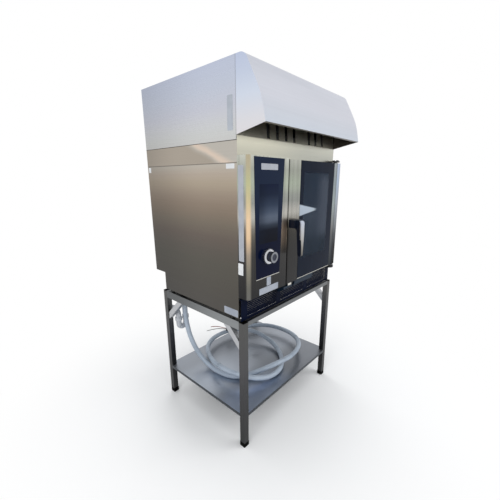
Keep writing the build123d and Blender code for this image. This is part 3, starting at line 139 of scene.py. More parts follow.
class Wire:
    def __init__(self, finish, socket):
        self.finish = finish
        self.socket = socket

    def maths(self, operation, first, second):
        return self.finish.node(maths_node, {"operation": operation}, {0: first, 1: second})

    def __add__(self, other):
        return self.maths("ADD", self, other)

    def __sub__(self, other):
        return self.maths("SUBTRACT", self, other)

    def __rsub__(self, other):
        return self.maths("SUBTRACT", other, self)

    def __mul__(self, other):
        return self.maths("MULTIPLY", self, other)

    def __truediv__(self, other):
        return self.maths("DIVIDE", self, other)

    def most(self, other):
        return self.maths("MAXIMUM", self, other)

    def distance_from(self, middle):
        return self.finish.node(maths_node, {"operation": "ABSOLUTE"}, {0: self - middle})

    def between(self, start, end, low=0.0, high=1.0):
        """low where the value is at start, high where it is at end, smooth and held outside."""
        return self.finish.node(
            "ShaderNodeMapRange",
            {"interpolation_type": "SMOOTHSTEP", "clamp": True},
            {"Value": self, "From Min": start, "From Max": end, "To Min": low, "To Max": high},
        )


class Finish:
    """The node tree of a material, or of the world, and the means to add nodes to it."""

    def __init__(self, name, world=None):
        self.material = world or bpy.data.materials.new(name)
        self.material.use_nodes = True
        self.tree = self.material.node_tree
        self.tree.nodes.clear()
        kind = "ShaderNodeOutputWorld" if world else "ShaderNodeOutputMaterial"
        self.output = self.tree.nodes.new(kind)
        self.position = self.node("ShaderNodeTexCoord", out="Object")

    def node(self, kind, settings=None, sockets=None, out=0):
        made = self.tree.nodes.new(kind)
        for key, value in (settings or {}).items():
            if key == "stops":
                ramp = made.color_ramp
                while len(ramp.elements) < len(value):
                    ramp.elements.new(0.5)
                for element, (spot, colour) in zip(ramp.elements, value):
                    element.position = spot
                    element.color = (*colour, 1)
            else:
                setattr(made, key, value)
        for key, value in (sockets or {}).items():
            if isinstance(value, Wire):
                self.tree.links.new(value.socket, made.inputs[key])
            elif isinstance(value, (tuple, list)) and len(made.inputs[key].default_value) == 4:
                made.inputs[key].default_value = (*value, 1)
            else:
                made.inputs[key].default_value = value
        return Wire(self, made.outputs[out])

    def axis(self, letter, vector=None):
        source = vector or self.position
        return self.node("ShaderNodeSeparateXYZ", {}, {"Vector": source}, out=letter)

    def facing(self, letter):
        """How far the surface looks along an axis, from -1 to 1."""
        return self.axis(letter, self.node("ShaderNodeNewGeometry", out="Normal"))

    def drawn(self, letter):
        """A surface point's x, y or z in the oven's drawing, in millimetres."""
        shift = {"X": 0.0, "Y": depth_shift, "Z": -stand_height}[letter]
        return self.axis(letter) * (1 / millimetre) + shift

    def stretched(self, x, y, z):
        """The object's own position with each direction scaled, for grain and streaks."""
        return self.node(
            "ShaderNodeVectorMath", {"operation": "MULTIPLY"}, {0: self.position, 1: (x, y, z)}
        )

    def noise(self, vector, scale, detail=2.0, roughness=0.5):
        return self.node(
            "ShaderNodeTexNoise",
            {"noise_dimensions": "3D"},
            {"Vector": vector, "Scale": scale, "Detail": detail, "Roughness": roughness},
            out="Fac",
        )

    def mix(self, share, first, second):
        """A colour between two, by a share that may vary over the surface."""
        return self.node(
            "ShaderNodeMix", {"data_type": "RGBA"}, {0: share, 6: first, 7: second}, out=2
        )

    def bump(self, height, strength, distance):
        return self.node(
            "ShaderNodeBump", {}, {"Height": height, "Strength": strength, "Distance": distance}
        )

    def surface(self, **sockets):
        """The Principled shader. Socket names are written with underscores for spaces."""
        named = {key.replace("_", " "): value for key, value in sockets.items()}
        return self.show(self.node("ShaderNodeBsdfPrincipled", {}, named))

    def show(self, shader):
        self.tree.links.new(shader.socket, self.output.inputs["Surface"])
        return self.material


print("shader helpers ready")

# %% [markdown]
# The floor is white paper. Near the oven it is plain diffuse, so that it keeps the shadow. Further
# out it fades to flat white for the camera, for reflections and for what is seen through glass, so
# that no edge or horizon shows. Other rays still see ordinary paper, so it adds no light.


# %% Floor and backdrop
floor_radius = 4.0


def seen_rays(finish):
    """1 for what the camera sees, straight, mirrored or through glass, and 0 for other rays."""
    camera_ray, glossy_ray, through_ray = [
        finish.node("ShaderNodeLightPath", out=kind)
        for kind in ("Is Camera Ray", "Is Glossy Ray", "Is Transmission Ray")
    ]
    return camera_ray.most(glossy_ray).most(through_ray)


def floor_finish():
    finish = Finish("floor_paper")
    x, y = finish.axis("X"), finish.axis("Y")
    away = finish.node(maths_node, {"operation": "SQRT"}, {0: x * x + y * y})
    share = away.between(0.35, 1.3) * seen_rays(finish)
    paper = finish.node("ShaderNodeBsdfDiffuse", {}, {"Color": (0.97, 0.97, 0.97)})
    glow = finish.node("ShaderNodeEmission", {}, {"Color": (1, 1, 1), "Strength": 1.0})
    return finish.show(finish.node("ShaderNodeMixShader", {}, {0: share, 1: paper, 2: glow}))


floor_mesh = bpy.data.meshes.new("floor")
disc = bmesh.new()
bmesh.ops.create_circle(disc, cap_ends=True, segments=96, radius=floor_radius)
disc.to_mesh(floor_mesh)
disc.free()
floor_mesh.materials.append(floor_finish())
floor = bpy.data.objects.new("floor", floor_mesh)
scene.collection.objects.link(floor)

scene.world = bpy.data.worlds.new("studio")
sky = Finish("studio", scene.world)
white = sky.node("ShaderNodeBackground", {}, {"Color": (1, 1, 1), "Strength": 1.0})
ambient = sky.node("ShaderNodeBackground", {}, {"Color": (0.94, 0.97, 1.0), "Strength": 0.52})
sky.show(sky.node("ShaderNodeMixShader", {}, {0: seen_rays(sky), 1: ambient, 2: white}))
print("floor and white backdrop ready")

# %% [markdown]
# The conduit is a free hose: its line is settled before anything rides near it. It leaves the gland
# under the oven, hangs in a slack curve to the shelf, and lies there in one big loop and one small
# one. A NURBS curve through control points gives the smooth fall of a heavy hose. A chain of arcs
# would look like bent wire.

# %% The conduit's route
drop_route = [
    (-264.0, 438.0, -20.0), (-264.0, 438.0, -76.0), (-261.0, 438.0, -138.0),
    (-255.0, 435.0, -202.0), (-247.0, 424.0, -264.0), (-237.0, 398.0, -322.0),
    (-227.0, 354.0, -368.0), (-221.0, 296.0, -392.0),
]
loop_route = [
    (-217.0, 238.0, -395.0), (-203.0, 182.0, -395.0), (-166.0, 140.0, -395.0),
    (-114.0, 116.0, -392.0), (-66.0, 78.0, -374.0), (-18.0, 42.0, -351.0),
    (52.0, 24.0, -348.0), (130.0, 34.0, -351.0), (204.0, 64.0, -357.0),
    (258.0, 120.0, -362.0), (286.0, 192.0, -365.0), (289.0, 270.0, -367.0),
    (272.0, 344.0, -369.0), (225.0, 402.0, -370.0), (158.0, 440.0, -370.0),
    (84.0, 466.0, -368.0), (6.0, 480.0, -366.0), (-74.0, 470.0, -365.0),
    (-138.0, 430.0, -364.0), (-184.0, 366.0, -362.0), (-214.0, 290.0, -358.0),
    (-228.0, 208.0, -350.0), (-214.0, 130.0, -352.0), (-162.0, 70.0, -374.0),
    (-88.0, 38.0, -392.0), (-8.0, 36.0, -395.0), (62.0, 74.0, -395.0),
    (118.0, 134.0, -391.0), (150.0, 210.0, -380.0), (152.0, 286.0, -364.0),
    (136.0, 344.0, -354.0), (103.0, 392.0, -347.0), (66.0, 428.0, -343.0),
]
conduit_route = [place(*point) for point in drop_route + loop_route]
print(len(conduit_route), "points on the conduit's route")


# %% A smooth line through a route
def nurbs_line(points):
    """The points of a NURBS curve that has these points as its control points."""
    data = bpy.data.curves.new("route", "CURVE")
    data.dimensions = "3D"
    spline = data.splines.new("NURBS")
    spline.points.add(len(points) - 1)
    for knot, point in zip(spline.points, points):
        knot.co = (*point, 1)
    spline.order_u = 3
    spline.use_endpoint_u = True
    spline.resolution_u = 12
    guide = bpy.data.objects.new("route", data)
    line = bpy.data.meshes.new_from_object(guide)
    found = [vertex.co.copy() for vertex in line.vertices]
    bpy.data.objects.remove(guide)
    bpy.data.meshes.remove(line)
    bpy.data.curves.remove(data)
    return found


def even_steps(points, step):
    """The same line with its points an even step apart."""
    lengths = [0.0]
    for before, after in zip(points, points[1:]):
        lengths.append(lengths[-1] + (after - before).length)
    count = max(2, round(lengths[-1] / step))
    spaced, place_in = [], 0
    for number in range(count + 1):
        goal = lengths[-1] * number / count
        while place_in < len(lengths) - 2 and lengths[place_in + 1] < goal:
            place_in += 1
        run = lengths[place_in + 1] - lengths[place_in]
        share = (goal - lengths[place_in]) / run if run else 0
        spaced.append(points[place_in].lerp(points[place_in + 1], share))
    return spaced, lengths[-1]


def skinned(name, rings, joined=False, smooth=True):
    """A mesh with faces between rings of points. The last ring meets the first one when joined,
    or else both get a cap."""
    mesh = bpy.data.meshes.new(name)
    shape = bmesh.new()
    rows = [[shape.verts.new(point) for point in ring] for ring in rings]
    pairs = list(zip(rows, rows[1:])) + ([(rows[-1], rows[0])] if joined else [])
    for row, ahead in pairs:
        for number in range(len(row)):
            shape.faces.new((row[number - 1], row[number], ahead[number], ahead[number - 1]))
    if not joined:
        shape.faces.new(rows[0])
        shape.faces.new(rows[-1])
    bmesh.ops.recalc_face_normals(shape, faces=shape.faces)
    for face in shape.faces:
        face.smooth = smooth
    shape.to_mesh(mesh)
    shape.free()
    return mesh


def circle(sides):
    """The cosine and sine of evenly spaced turns."""
    turns = [2 * math.pi * side / sides for side in range(sides)]
    return [(math.cos(turn), math.sin(turn)) for turn in turns]


def tube_mesh(name, line, radius_at, sides):
    """A closed tube along a line. radius_at gives the radius at each step."""
    rings = []
    across = None
    for number, point in enumerate(line):
        before = line[max(number - 1, 0)]
        after = line[min(number + 1, len(line) - 1)]
        way = (after - before).normalized()
        if across is None:
            across = way.orthogonal().normalized()
        across = (across - way * across.dot(way)).normalized()
        other = way.cross(across)
        radius = radius_at(number)
        rings.append([point + (across * c + other * s) * radius for c, s in circle(sides)])
    return skinned(name, rings)


def piece(name, mesh, body, material):
    """A new object of the scene that rides on a body."""
    thing = bpy.data.objects.new(name, mesh)
    scene.collection.objects.link(thing)
    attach(thing, body)
    mesh.materials.append(material)
    return thing


print("tube helpers ready")

# %% [markdown]
# The conduit's finish is a soft bluish grey plastic. Its ribs are real geometry, because they show
# against the light along the edge, where a bump would leave the outline smooth.


# %% The conduit's finish and ribs
def conduit_finish():
    finish = Finish("conduit_plastic")
    dust = finish.noise(finish.position, 9.0, 3.0)
    grain = finish.noise(finish.position, 900.0, 1.0)
    colour = finish.mix(dust.between(0.35, 0.7), (0.34, 0.4, 0.48), (0.46, 0.53, 0.62))
    return finish.surface(
        Base_Color=colour,
        Roughness=dust.between(0.3, 0.7, 0.26, 0.36),
        Normal=finish.bump(grain, 0.15, 0.0003),
    )


rib_step = 2.4 * millimetre
rib_depth = 0.9 * millimetre
conduit_radius = 12.0 * millimetre
conduit_line, conduit_length = even_steps(nurbs_line(conduit_route), rib_step)


def rib_radius(number):
    return conduit_radius if number % 2 else conduit_radius - rib_depth


print("conduit's line", round(conduit_length, 3), "m, ribs every", rib_step, "m")

# %% [markdown]
# The conduit's free end is a moulded sleeve, from which two stripped wires stick out. The sleeve is
# a short tube whose radius steps at its collars and rings. Each wire is a thin tube along its own
# smooth line. All three are tied to the conduit, so that they go where it goes.


# %% Sleeve and wires
def wire_finish(name, colour):
    finish = Finish(name)
    dust = finish.noise(finish.position, 60.0, 2.0)
    return finish.surface(
        Base_Color=finish.mix(dust.between(0.3, 0.8, 0.0, 0.4), colour, (0.3, 0.3, 0.3)),
        Roughness=dust.between(0.3, 0.7, 0.35, 0.5),
    )


sleeve_length, sleeve_step = 0.05, 0.002
wire_radius, wire_step, wire_gap = 2.0 * millimetre, 0.003, 0.005
tail_start = conduit_route[-1]
tail_way = (tail_start - conduit_route[-2]).normalized()
sleeve_end = tail_start + tail_way * sleeve_length
sleeve_line = even_steps([tail_start, sleeve_end], sleeve_step)[0]
aside = tail_way.cross(Vector((0, 0, 1))).normalized() * wire_gap


def sleeve_radius(number):
    """A collar at each end of the sleeve and shallow rings between."""
    last = len(sleeve_line) - 1
    if number in (0, last):
        return 12.6 * millimetre
    if number < 4 or number > last - 3:
        return 14.0 * millimetre
    return (13.4 if number % 4 < 2 else 12.9) * millimetre


sleeve = piece(
    "conduit_sleeve", tube_mesh("conduit_sleeve", sleeve_line, sleeve_radius, 32),
    "oven_body", wire_finish("sleeve_black_plastic", (0.015, 0.015, 0.017)),
)
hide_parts("conduit_end")
for name, start, steps, colour in (
    ("wire_live", sleeve_end + aside, [(0, 0, 0), (-14, 14, 4), (-42, 28, 20), (-76, 46, 23)],
     (0.35, 0.03, 0.02)),
    ("wire_return", sleeve_end - aside, [(0, 0, 0), (-12, 14, 1), (-42, 36, 8), (-96, 58, 6)],
     (0.25, 0.25, 0.24)),
):
    wire_points = nurbs_line([start + Vector(step) * millimetre for step in steps])
    wire_line = even_steps(wire_points, wire_step)[0]
    wire_mesh = tube_mesh(name, wire_line, lambda number: wire_radius, 12)
    piece(name, wire_mesh, "oven_body", wire_finish(name + "_skin", colour))

# %% The conduit
conduit = piece(
    "conduit", tube_mesh("conduit", conduit_line, rib_radius, 18), "oven_body",
    conduit_finish(),
)
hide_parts("conduit_drop", "conduit_loops")
print("conduit", round(conduit_length, 3), "m")

# %% [markdown]
# Stainless sheet is what most of this oven is made of. Brushing leaves fine lines that run level on
# upright panels, so the grain varies quickly with height and slowly along the sheet. A picture of
# brushed steel could be wrapped round it. Noise on stretched coordinates needs no unwrapping and
# runs round corners without a seam.


# %% Brushed steel
def height_tone(finish, tones):
    """A colour that changes with height: tones are (height in the drawing, colour) from low up."""
    lowest, highest = tones[0][0], tones[-1][0]
    rise = finish.node(
        "ShaderNodeMapRange",
        {"clamp": True},
        {"Value": finish.drawn("Z"), "From Min": lowest, "From Max": highest},
    )
    stops = [((height - lowest) / (highest - lowest), colour) for height, colour in tones]
    return finish.node("ShaderNodeValToRGB", {"stops": stops}, {"Fac": rise})


level = (2, 2, 700)
upright = (300, 300, 3)
dirt = (0.05, 0.048, 0.045)


def brushed(name, tones, across=level, rough=0.3, worn=0.07, light=None, edge=(1, 1, 1)):
    """Brushed steel. tones is one colour, or (height, colour) pairs where it changes with height.
    light is a function that paints light and shade: it takes the finish and its colour, and gives
    back a changed colour."""
    finish = Finish(name)
    grain = finish.noise(finish.stretched(*across), 1.0, 2.0, 0.6)
    streak = finish.noise(finish.stretched(*[value * 0.22 for value in across]), 1.0, 3.0, 0.6)
    cloud = finish.noise(finish.position, 3.2, 3.0, 0.55)
    share = cloud.between(0.25, 0.8, 0.0, worn) + streak.between(0.3, 0.75, 0.0, worn)
    clean = tones if isinstance(tones[0], float) else height_tone(finish, tones)
    tone = finish.mix(share, clean, dirt)
    if light:
        tone = light(finish, tone)
    return finish.surface(
        Base_Color=tone,
        Metallic=1.0,
        Roughness=grain.between(0.2, 0.8, rough - 0.03, rough + 0.06),
        Normal=finish.bump(grain, 0.01, 0.0002),
        Anisotropic=0.35,
        Specular_Tint=edge,
    )


def painted_rear_shade(start, end, most):
    """Paints shade on a finish, darker from the front to the back, as the far end of a room does."""
    return lambda finish, tone: finish.mix(
        finish.drawn("Y").between(start, end, 0.0, most), tone, (0, 0, 0)
    )


def wear(names, material):
    """Gives CAD nodes a finish in place of their plain one."""
    for name in names:
        mesh = nodes[name].data
        mesh.materials.clear()
        mesh.materials.append(material)
        for face in mesh.polygons:
            face.material_index = 0


print("brushed steel helpers ready")

# %% [markdown]
# A photograph of steel is mostly a picture of what stands round it: a dark floor below, a warm wall
# at the height of the door, the sky above. The studio has none of these, so these reflections are
# painted: the tone of each sheet changes with its height, and painted shade darkens it backwards.

# %% Casing
# Painted reflections: darker towards the bottom, warmer and lighter up to the dark seam at the
# joint, with painted shade towards the back.
casing = brushed("casing_steel_brushed", [
    (11, (0.086, 0.08, 0.073)), (100, (0.095, 0.088, 0.077)), (200, (0.109, 0.102, 0.087)),
    (250, (0.124, 0.11, 0.095)), (300, (0.152, 0.126, 0.108)), (350, (0.197, 0.168, 0.134)),
    (390, (0.25, 0.202, 0.158)), (420, (0.285, 0.228, 0.178)), (450, (0.336, 0.273, 0.216)),
    (500, (0.441, 0.372, 0.29)), (530, (0.48, 0.41, 0.34)), (563.2, (0.52, 0.48, 0.42)),
    (564.2, (0.1, 0.09, 0.08)), (566, (0.06, 0.055, 0.05)),
], level, 0.3, 0.04, painted_rear_shade(150, 600, 0.38))
wear(["left_side_panel", "right_side_panel", "rear_cover", "base_pan", "top_panel"], casing)
print("casing ready")

# %% [markdown]
# The hood is folded from three kinds of sheet: a plain casing, a bowed canopy that mirrors the sky,
# and a slotted band in its shade. Their tones are painted reflections. What lies inside gets dark
# painted shade, so each finish tells a sheet's outer skin from the rest by its place or its facing.


# %% Hood
def hood_side(finish, tone):
    """The hood's side gets painted shade that darkens it backwards, and a fine seam parts it from
    the canopy's cheek. What isn't its outer skin is painted nearly black, as shade."""
    y = finish.drawn("Y")
    x = finish.drawn("X").distance_from(0.0)
    seam = y.between(0.0, 4.0, 0.55, 0.0) * x.between(casing_half - 2.5, casing_half - 1.0)
    skin = finish.mix(seam, painted_rear_shade(100, 620, 0.26)(finish, tone), (0.1, 0.1, 0.11))
    rear, head = (cad_high.y / millimetre + depth_shift), (cad_high.z / millimetre - stand_height)
    outer = x.between(casing_half - 0.9, casing_half - 0.3)
    outer = outer.most(y.between(rear - 0.7, rear - 0.2))
    outer = outer.most(finish.drawn("Z").between(head - 0.7, head - 0.2))
    return finish.mix(outer, (0.03, 0.03, 0.03), skin)


# Painted reflections: the hood's side turns bluer towards the top.
wear(["hood_casing"], brushed("hood_steel_brushed", [
    (635, (0.6, 0.6, 0.59)), (660, (0.61, 0.62, 0.615)), (700, (0.605, 0.615, 0.645)),
    (740, (0.575, 0.59, 0.665)), (800, (0.54, 0.58, 0.68)), (873, (0.515, 0.56, 0.685)),
], level, 0.28, 0.02, hood_side))


reflection_slant, reflection_shift = 2.3, 1239.0


def spacer_painted_reflection(finish, tone):
    """A painted slanting reflection crosses the band: light before it, brightest on it, dull behind.
    """
    along = finish.drawn("Y") - finish.drawn("Z") * reflection_slant + reflection_shift
    wobble = finish.noise(finish.stretched(1, 9, 14), 1.0, 2.0) * 60.0 - 30.0
    spot = along + wobble
    streak = spot.between(-70, -5) * spot.between(-5, 40, 1.0, 0.0)
    dull = finish.mix(spot.between(0, 70), tone, (0.4, 0.352, 0.295))
    lit = finish.mix(streak, dull, (0.7, 0.58, 0.48))
    # Painted shade darkens the band backwards. The dark line near its top is the seam.
    seams = finish.drawn("Z").between(632.2, 633.6)
    return finish.mix(seams, painted_rear_shade(300, 640, 0.3)(finish, lit), (0.05, 0.045, 0.04))


wear(["hood_spacer"], brushed(
    "spacer_steel_brushed", (0.52, 0.49, 0.44), level, 0.3, 0.04, spacer_painted_reflection,
))


def canopy_painted_light(finish, tone):
    """The canopy's inner faces get dull painted shade, and its cheeks get painted reflections by
    height.
    """
    back = finish.facing("Y").between(0.1, 0.3)
    down = finish.facing("Z").between(-0.3, -0.6)
    outside = finish.drawn("X").distance_from(0.0).between(casing_half - 0.7, casing_half - 0.3)
    sideways = finish.facing("X").distance_from(0.0).between(0.7, 0.9)
    cheek = height_tone(finish, [
        (649, (0.745, 0.725, 0.745)), (690, (0.725, 0.725, 0.765)), (760, (0.65, 0.705, 0.81)),
        (820, (0.565, 0.625, 0.76)), (873, (0.52, 0.58, 0.74)),
    ])
    skin = finish.mix(outside * sideways, tone, cheek)
    painted_shade_share = back.most(down).most((1 - outside) * sideways)
    return finish.mix(painted_shade_share, skin, (0.1, 0.09, 0.08))


# Painted reflections: the canopy's front changes tone with height.
wear(["hood_canopy"], brushed("canopy_steel_brushed", [
    (673, (0.62, 0.67, 0.745)), (715, (0.63, 0.66, 0.73)), (760, (0.66, 0.675, 0.745)),
    (873, (0.59, 0.61, 0.68)),
], (2, 300, 300), 0.34, 0.03, canopy_painted_light))


def fascia_light(finish, tone):
    """Painted reflections: the band above the door is warm and light at the console's end. Its
    slotted part, in the canopy's shade, is painted light.
    """
    along = finish.drawn("X").between(-260, 120)
    height = finish.drawn("Z")
    risen = height.between(600, 640)
    left = finish.mix(risen, tone, (0.76, 0.74, 0.61))
    band = finish.mix(along, left, finish.mix(risen, (0.47, 0.475, 0.42), (0.56, 0.56, 0.49)))
    upper = finish.mix(height.between(652, 668), (0.95, 0.93, 0.8), (0.9, 0.88, 0.76))
    return finish.mix(height.between(647.5, 648.5), band, upper)


wear(["hood_fascia"], brushed(
    "fascia_steel_brushed", (0.6, 0.59, 0.49), level, 0.3, 0.03, fascia_light,
))
wear(["hood_filter"], brushed("filter_steel_brushed", (0.1, 0.1, 0.1), level, 0.4))
print("hood ready")

# %% [markdown]
# The console and the door's stiles get painted reflections of a blurred room, as tall soft streaks.
# The console's rolled edge and the stile's nose face other ways than the flat front does, and get
# painted tones of their own, which start where the bend does.


# %% Console and stiles
def console_corner(finish, tone):
    """The console's rolled edge gets a painted warm reflection down most of its length."""
    x = finish.drawn("X")
    band = x.between(-casing_half, 3.0 - casing_half) * x.between(-319.0, -309.0, 1.0, 0.0)
    nose = height_tone(finish, [
        (95, (0.158, 0.155, 0.147)), (140, (0.158, 0.156, 0.136)), (200, (0.24, 0.222, 0.179)),
        (260, (0.375, 0.312, 0.244)), (300, (0.66, 0.49, 0.33)), (320, (0.81, 0.59, 0.38)),
        (380, (0.86, 0.63, 0.41)), (440, (0.65, 0.545, 0.327)), (500, (0.53, 0.525, 0.3)),
        (560, (0.485, 0.43, 0.3)), (587, (0.48, 0.42, 0.29)),
    ])
    return finish.mix(band, tone, nose)


# Painted reflections on the flat front, by height: dark low down, a bright band near 390 mm, lighter
# again near the top.
front_tones = [
    (95, (0.042, 0.042, 0.044)), (250, (0.047, 0.046, 0.045)), (300, (0.06, 0.056, 0.05)),
    (325, (0.085, 0.078, 0.066)), (348, (0.15, 0.138, 0.12)), (372, (0.32, 0.31, 0.28)),
    (388, (0.42, 0.41, 0.375)), (404, (0.4, 0.392, 0.36)), (434, (0.27, 0.28, 0.26)),
    (457, (0.29, 0.305, 0.275)), (478, (0.35, 0.38, 0.32)), (500, (0.36, 0.4, 0.325)),
    (545, (0.32, 0.335, 0.29)), (583, (0.43, 0.44, 0.39)),
]


def painted_reflection_streaks(finish, tone):
    """Painted reflections: tall soft darker streaks, as a blurred room leaves them on upright sheet.
    """
    soft = finish.noise(finish.stretched(90, 90, 1.5), 1.0, 3.0, 0.6)
    return finish.mix(soft.between(0.35, 0.75, 0.0, 0.28), tone, (0.03, 0.03, 0.03))


def console_light(finish, tone):
    """Painted streaks, a painted warm reflection beside the door, and the rolled edge at the left.
    """
    x, z = finish.drawn("X"), finish.drawn("Z")
    warm = x.between(-150, -136, 0.0, 0.75) * z.between(225, 320) * z.between(335, 380, 1.0, 0.0)
    lit = finish.mix(warm, painted_reflection_streaks(finish, tone), (0.4, 0.3, 0.22))
    return console_corner(finish, lit)


def shaded(tones, shares):
    """The same heights with each colour made lighter or darker by its share, as painted light and
    shade.
    """
    return [
        (height, tuple(value * share for value in colour))
        for (height, colour), share in zip(tones, shares)
    ]


# Painted light and shade: the console is lighter than the front's tones above its foot, and the
# stile is darker below 330 mm and lighter above.
console_shares = (0.65, 1.1, 1.6, 1.7, 1.5, 1.25, 1.2, 1.2, 1.2, 1.2, 1.2, 1.25, 1.3, 1.35)
stile_shares = [1.1 if height > 330 else 0.7 for height, colour in front_tones]
console_steel = brushed(
    "console_steel_brushed", shaded(front_tones, console_shares), upright, 0.26, 0.03,
    console_light,
)
wear(["console_housing"], console_steel)
wear(["door_left_profile"], brushed(
    "stile_steel_brushed", shaded(front_tones, stile_shares), upright, 0.27, 0.03,
    painted_reflection_streaks,
))


def nose_light(finish, tone):
    """The rolled nose of the hinge stile turns towards the light and is painted lighter, and its
    flat front is not. A dark line runs along the bend.
    """
    x = finish.drawn("X")
    bright = height_tone(finish, [
        (100, (0.09, 0.09, 0.09)), (200, (0.12, 0.12, 0.125)), (260, (0.2, 0.21, 0.22)),
        (300, (0.33, 0.35, 0.37)), (400, (0.5, 0.54, 0.6)), (500, (0.56, 0.66, 0.8)),
        (583, (0.62, 0.7, 0.86)),
    ])
    edge = x.between(276, 279) * x.between(280, 284, 1.0, 0.0)
    rolled = finish.mix(x.between(279, 287), tone, bright)
    return finish.mix(edge * 0.6, rolled, (0.03, 0.04, 0.06))


# Painted reflections on the stile's flat front, darker towards the bottom.
wear(["door_right_profile"], brushed("nose_steel_brushed", [
    (100, (0.11, 0.118, 0.125)), (200, (0.17, 0.175, 0.185)), (250, (0.22, 0.225, 0.23)),
    (300, (0.34, 0.345, 0.35)), (400, (0.48, 0.54, 0.54)), (500, (0.41, 0.46, 0.48)),
    (583, (0.47, 0.5, 0.51)),
], upright, 0.27, 0.04, nose_light, (0.12, 0.12, 0.12)))
wear(["latch_spindle", "latch_catch"], brushed(
    "latch_steel_brushed", (0.5, 0.5, 0.48), level, 0.25,
))
wear(["front_frame"], brushed("frame_steel_brushed", (0.3, 0.3, 0.28), level, 0.34))
# The bright band at the foot is light steel trim, painted brighter as a highlight along its lower
# edge.
wear(["door_frame"], brushed("door_frame_steel_brushed", [
    (100, (0.62, 0.61, 0.56)), (103, (0.6, 0.59, 0.54)), (106, (0.14, 0.14, 0.14)),
    (583, (0.2, 0.2, 0.2)),
], level, 0.34))
print("console and stiles ready")

# %% [markdown]
# The stand is plain tube, brushed along its length and duller than the oven. Its legs get painted
# shade towards the floor. Its shelf gets painted daylight on the left, and a painted bluer light
# on the near corner.

# %% Stand and cavity
# Painted shade: the legs darken towards the floor, nearly black at their feet.
wear(["stand_legs"], brushed("leg_steel_brushed", [
    (-565, (0.003, 0.003, 0.004)), (-549, (0.003, 0.003, 0.004)), (-547, (0.045, 0.045, 0.047)),
    (-400, (0.055, 0.055, 0.057)), (-300, (0.068, 0.068, 0.072)), (-200, (0.086, 0.086, 0.09)),
    (-3, (0.102, 0.102, 0.1)),
], (300, 300, 4), 0.36, 0.05))


def rail_light(finish, tone):
    """Painted shade: the rails darken backwards, and their front faces are a shade darker than the
    rest.
    """
    front = finish.drawn("Y").between(-25.9, -25.0, 0.33, 0.0)
    return finish.mix(front, painted_rear_shade(60, 420, 0.54)(finish, tone), (0, 0, 0))


wear(["stand_rails"], brushed(
    "rail_steel_brushed", (0.27, 0.283, 0.292), (300, 4, 300), 0.36, 0.05, rail_light,
))
wear(["stand_braces"], brushed(
    "brace_steel_brushed", (0.5, 0.51, 0.53), (300, 4, 300), 0.36,
))


def shelf_light(finish, tone):
    """Painted light: daylight on the left and the sky's blue on the near corner. The rim gets
    painted shade.
    """
    x, y = finish.drawn("X"), finish.drawn("Y")
    patch = y.between(90, 190) * y.between(240, 420, 1.0, 0.25) * x.between(-250, 60, 1.0, 0.3)
    corner = x.between(-180, 60, 1.0, 0.0) * y.between(50, 180, 1.0, 0.0)
    sheet = finish.mix(corner, finish.mix(patch, tone, (0.57, 0.62, 0.7)), (0.5, 0.58, 0.74))
    return finish.mix(finish.facing("Z").between(0.3, 0.7), (0.07, 0.078, 0.09), sheet)


wear(["stand_shelf"], brushed(
    "shelf_steel_brushed", (0.245, 0.26, 0.288), (2, 500, 2), 0.4, 0.03, shelf_light,
))
wear(["cavity_liner", "drain_strainer", "air_baffle", "hanging_racks", "fan_wheel"], brushed(
    "cavity_steel_brushed", (0.6, 0.6, 0.58),
))
wear(["boiler", "heating_elements"], brushed(
    "boiler_steel_brushed", (0.4, 0.4, 0.4), level, 0.35,
))
print("brushed steel on", sum(1 for m in bpy.data.materials if "brushed" in m.name), "finishes")

# %% [markdown]
# Plastics differ by their skin. Moulded black parts have a fine spark-eroded texture that scatters
# highlights, so they get a small bump and a middling roughness. Rubber is duller still.


# %% Plastics, rubber and paint
def moulded(name, colour, lighter, rough, grain_scale=700.0, grain=0.2, sheen=0.5):
    """A moulded or painted skin. sheen sets how strongly its surface mirrors."""
    finish = Finish(name)
    speck = finish.noise(finish.position, grain_scale, 2.0)
    cloud = finish.noise(finish.position, 6.0, 3.0)
    return finish.surface(
        Base_Color=finish.mix(cloud.between(0.3, 0.75), colour, lighter),
        Roughness=cloud.between(0.3, 0.7, rough - 0.06, rough + 0.08),
        Normal=finish.bump(speck, grain, 0.0002),
        Specular_IOR_Level=sheen,
    )


wear(["hinge_covers", "conduit_gland"], moulded(
    "black_moulding", (0.006, 0.006, 0.008), (0.014, 0.014, 0.016), 0.42, sheen=0.2,
))
wear(["stand_end_caps"], moulded(
    "foot_black_moulding", (0.001, 0.001, 0.001), (0.003, 0.003, 0.003), 0.55, sheen=0.02,
))
wear(["drip_tray"], moulded(
    "drip_tray_moulding", (0.008, 0.02, 0.038), (0.014, 0.028, 0.05), 0.36, 700.0, 0.1, 0.15,
))
wear(["handle_lever"], moulded(
    "handle_black_moulding", (0.004, 0.006, 0.014), (0.008, 0.012, 0.024), 0.3, 900.0, 0.1, 0.25,
))
wear(["plinth_grille"], moulded(
    "plinth_black_paint", (0.0, 0.002, 0.012), (0.002, 0.005, 0.02), 0.45, 400.0, 0.05, 0.04,
))
wear(["oven_feet", "door_gasket"], moulded(
    "seal_rubber", (0.02, 0.02, 0.02), (0.04, 0.04, 0.04), 0.6, 500.0, 0.3,
))
wear(["drain_pipe", "drain_trap"], moulded(
    "drain_plastic", (0.46, 0.48, 0.52), (0.6, 0.62, 0.66), 0.32, 300.0, 0.1,
))
wear(["dial_knob"], moulded(
    "dial_dark_moulding", (0.018, 0.022, 0.04), (0.03, 0.036, 0.06), 0.36, 900.0, 0.1, 0.3,
))
wear(["cavity_insulation"], moulded(
    "mineral_wool", (0.6, 0.52, 0.34), (0.75, 0.68, 0.5), 0.8, 120.0, 0.8,
))
electric_parts = [
    "display_module", "control_board", "dial_encoder", "encoder_plunger", "power_module",
]
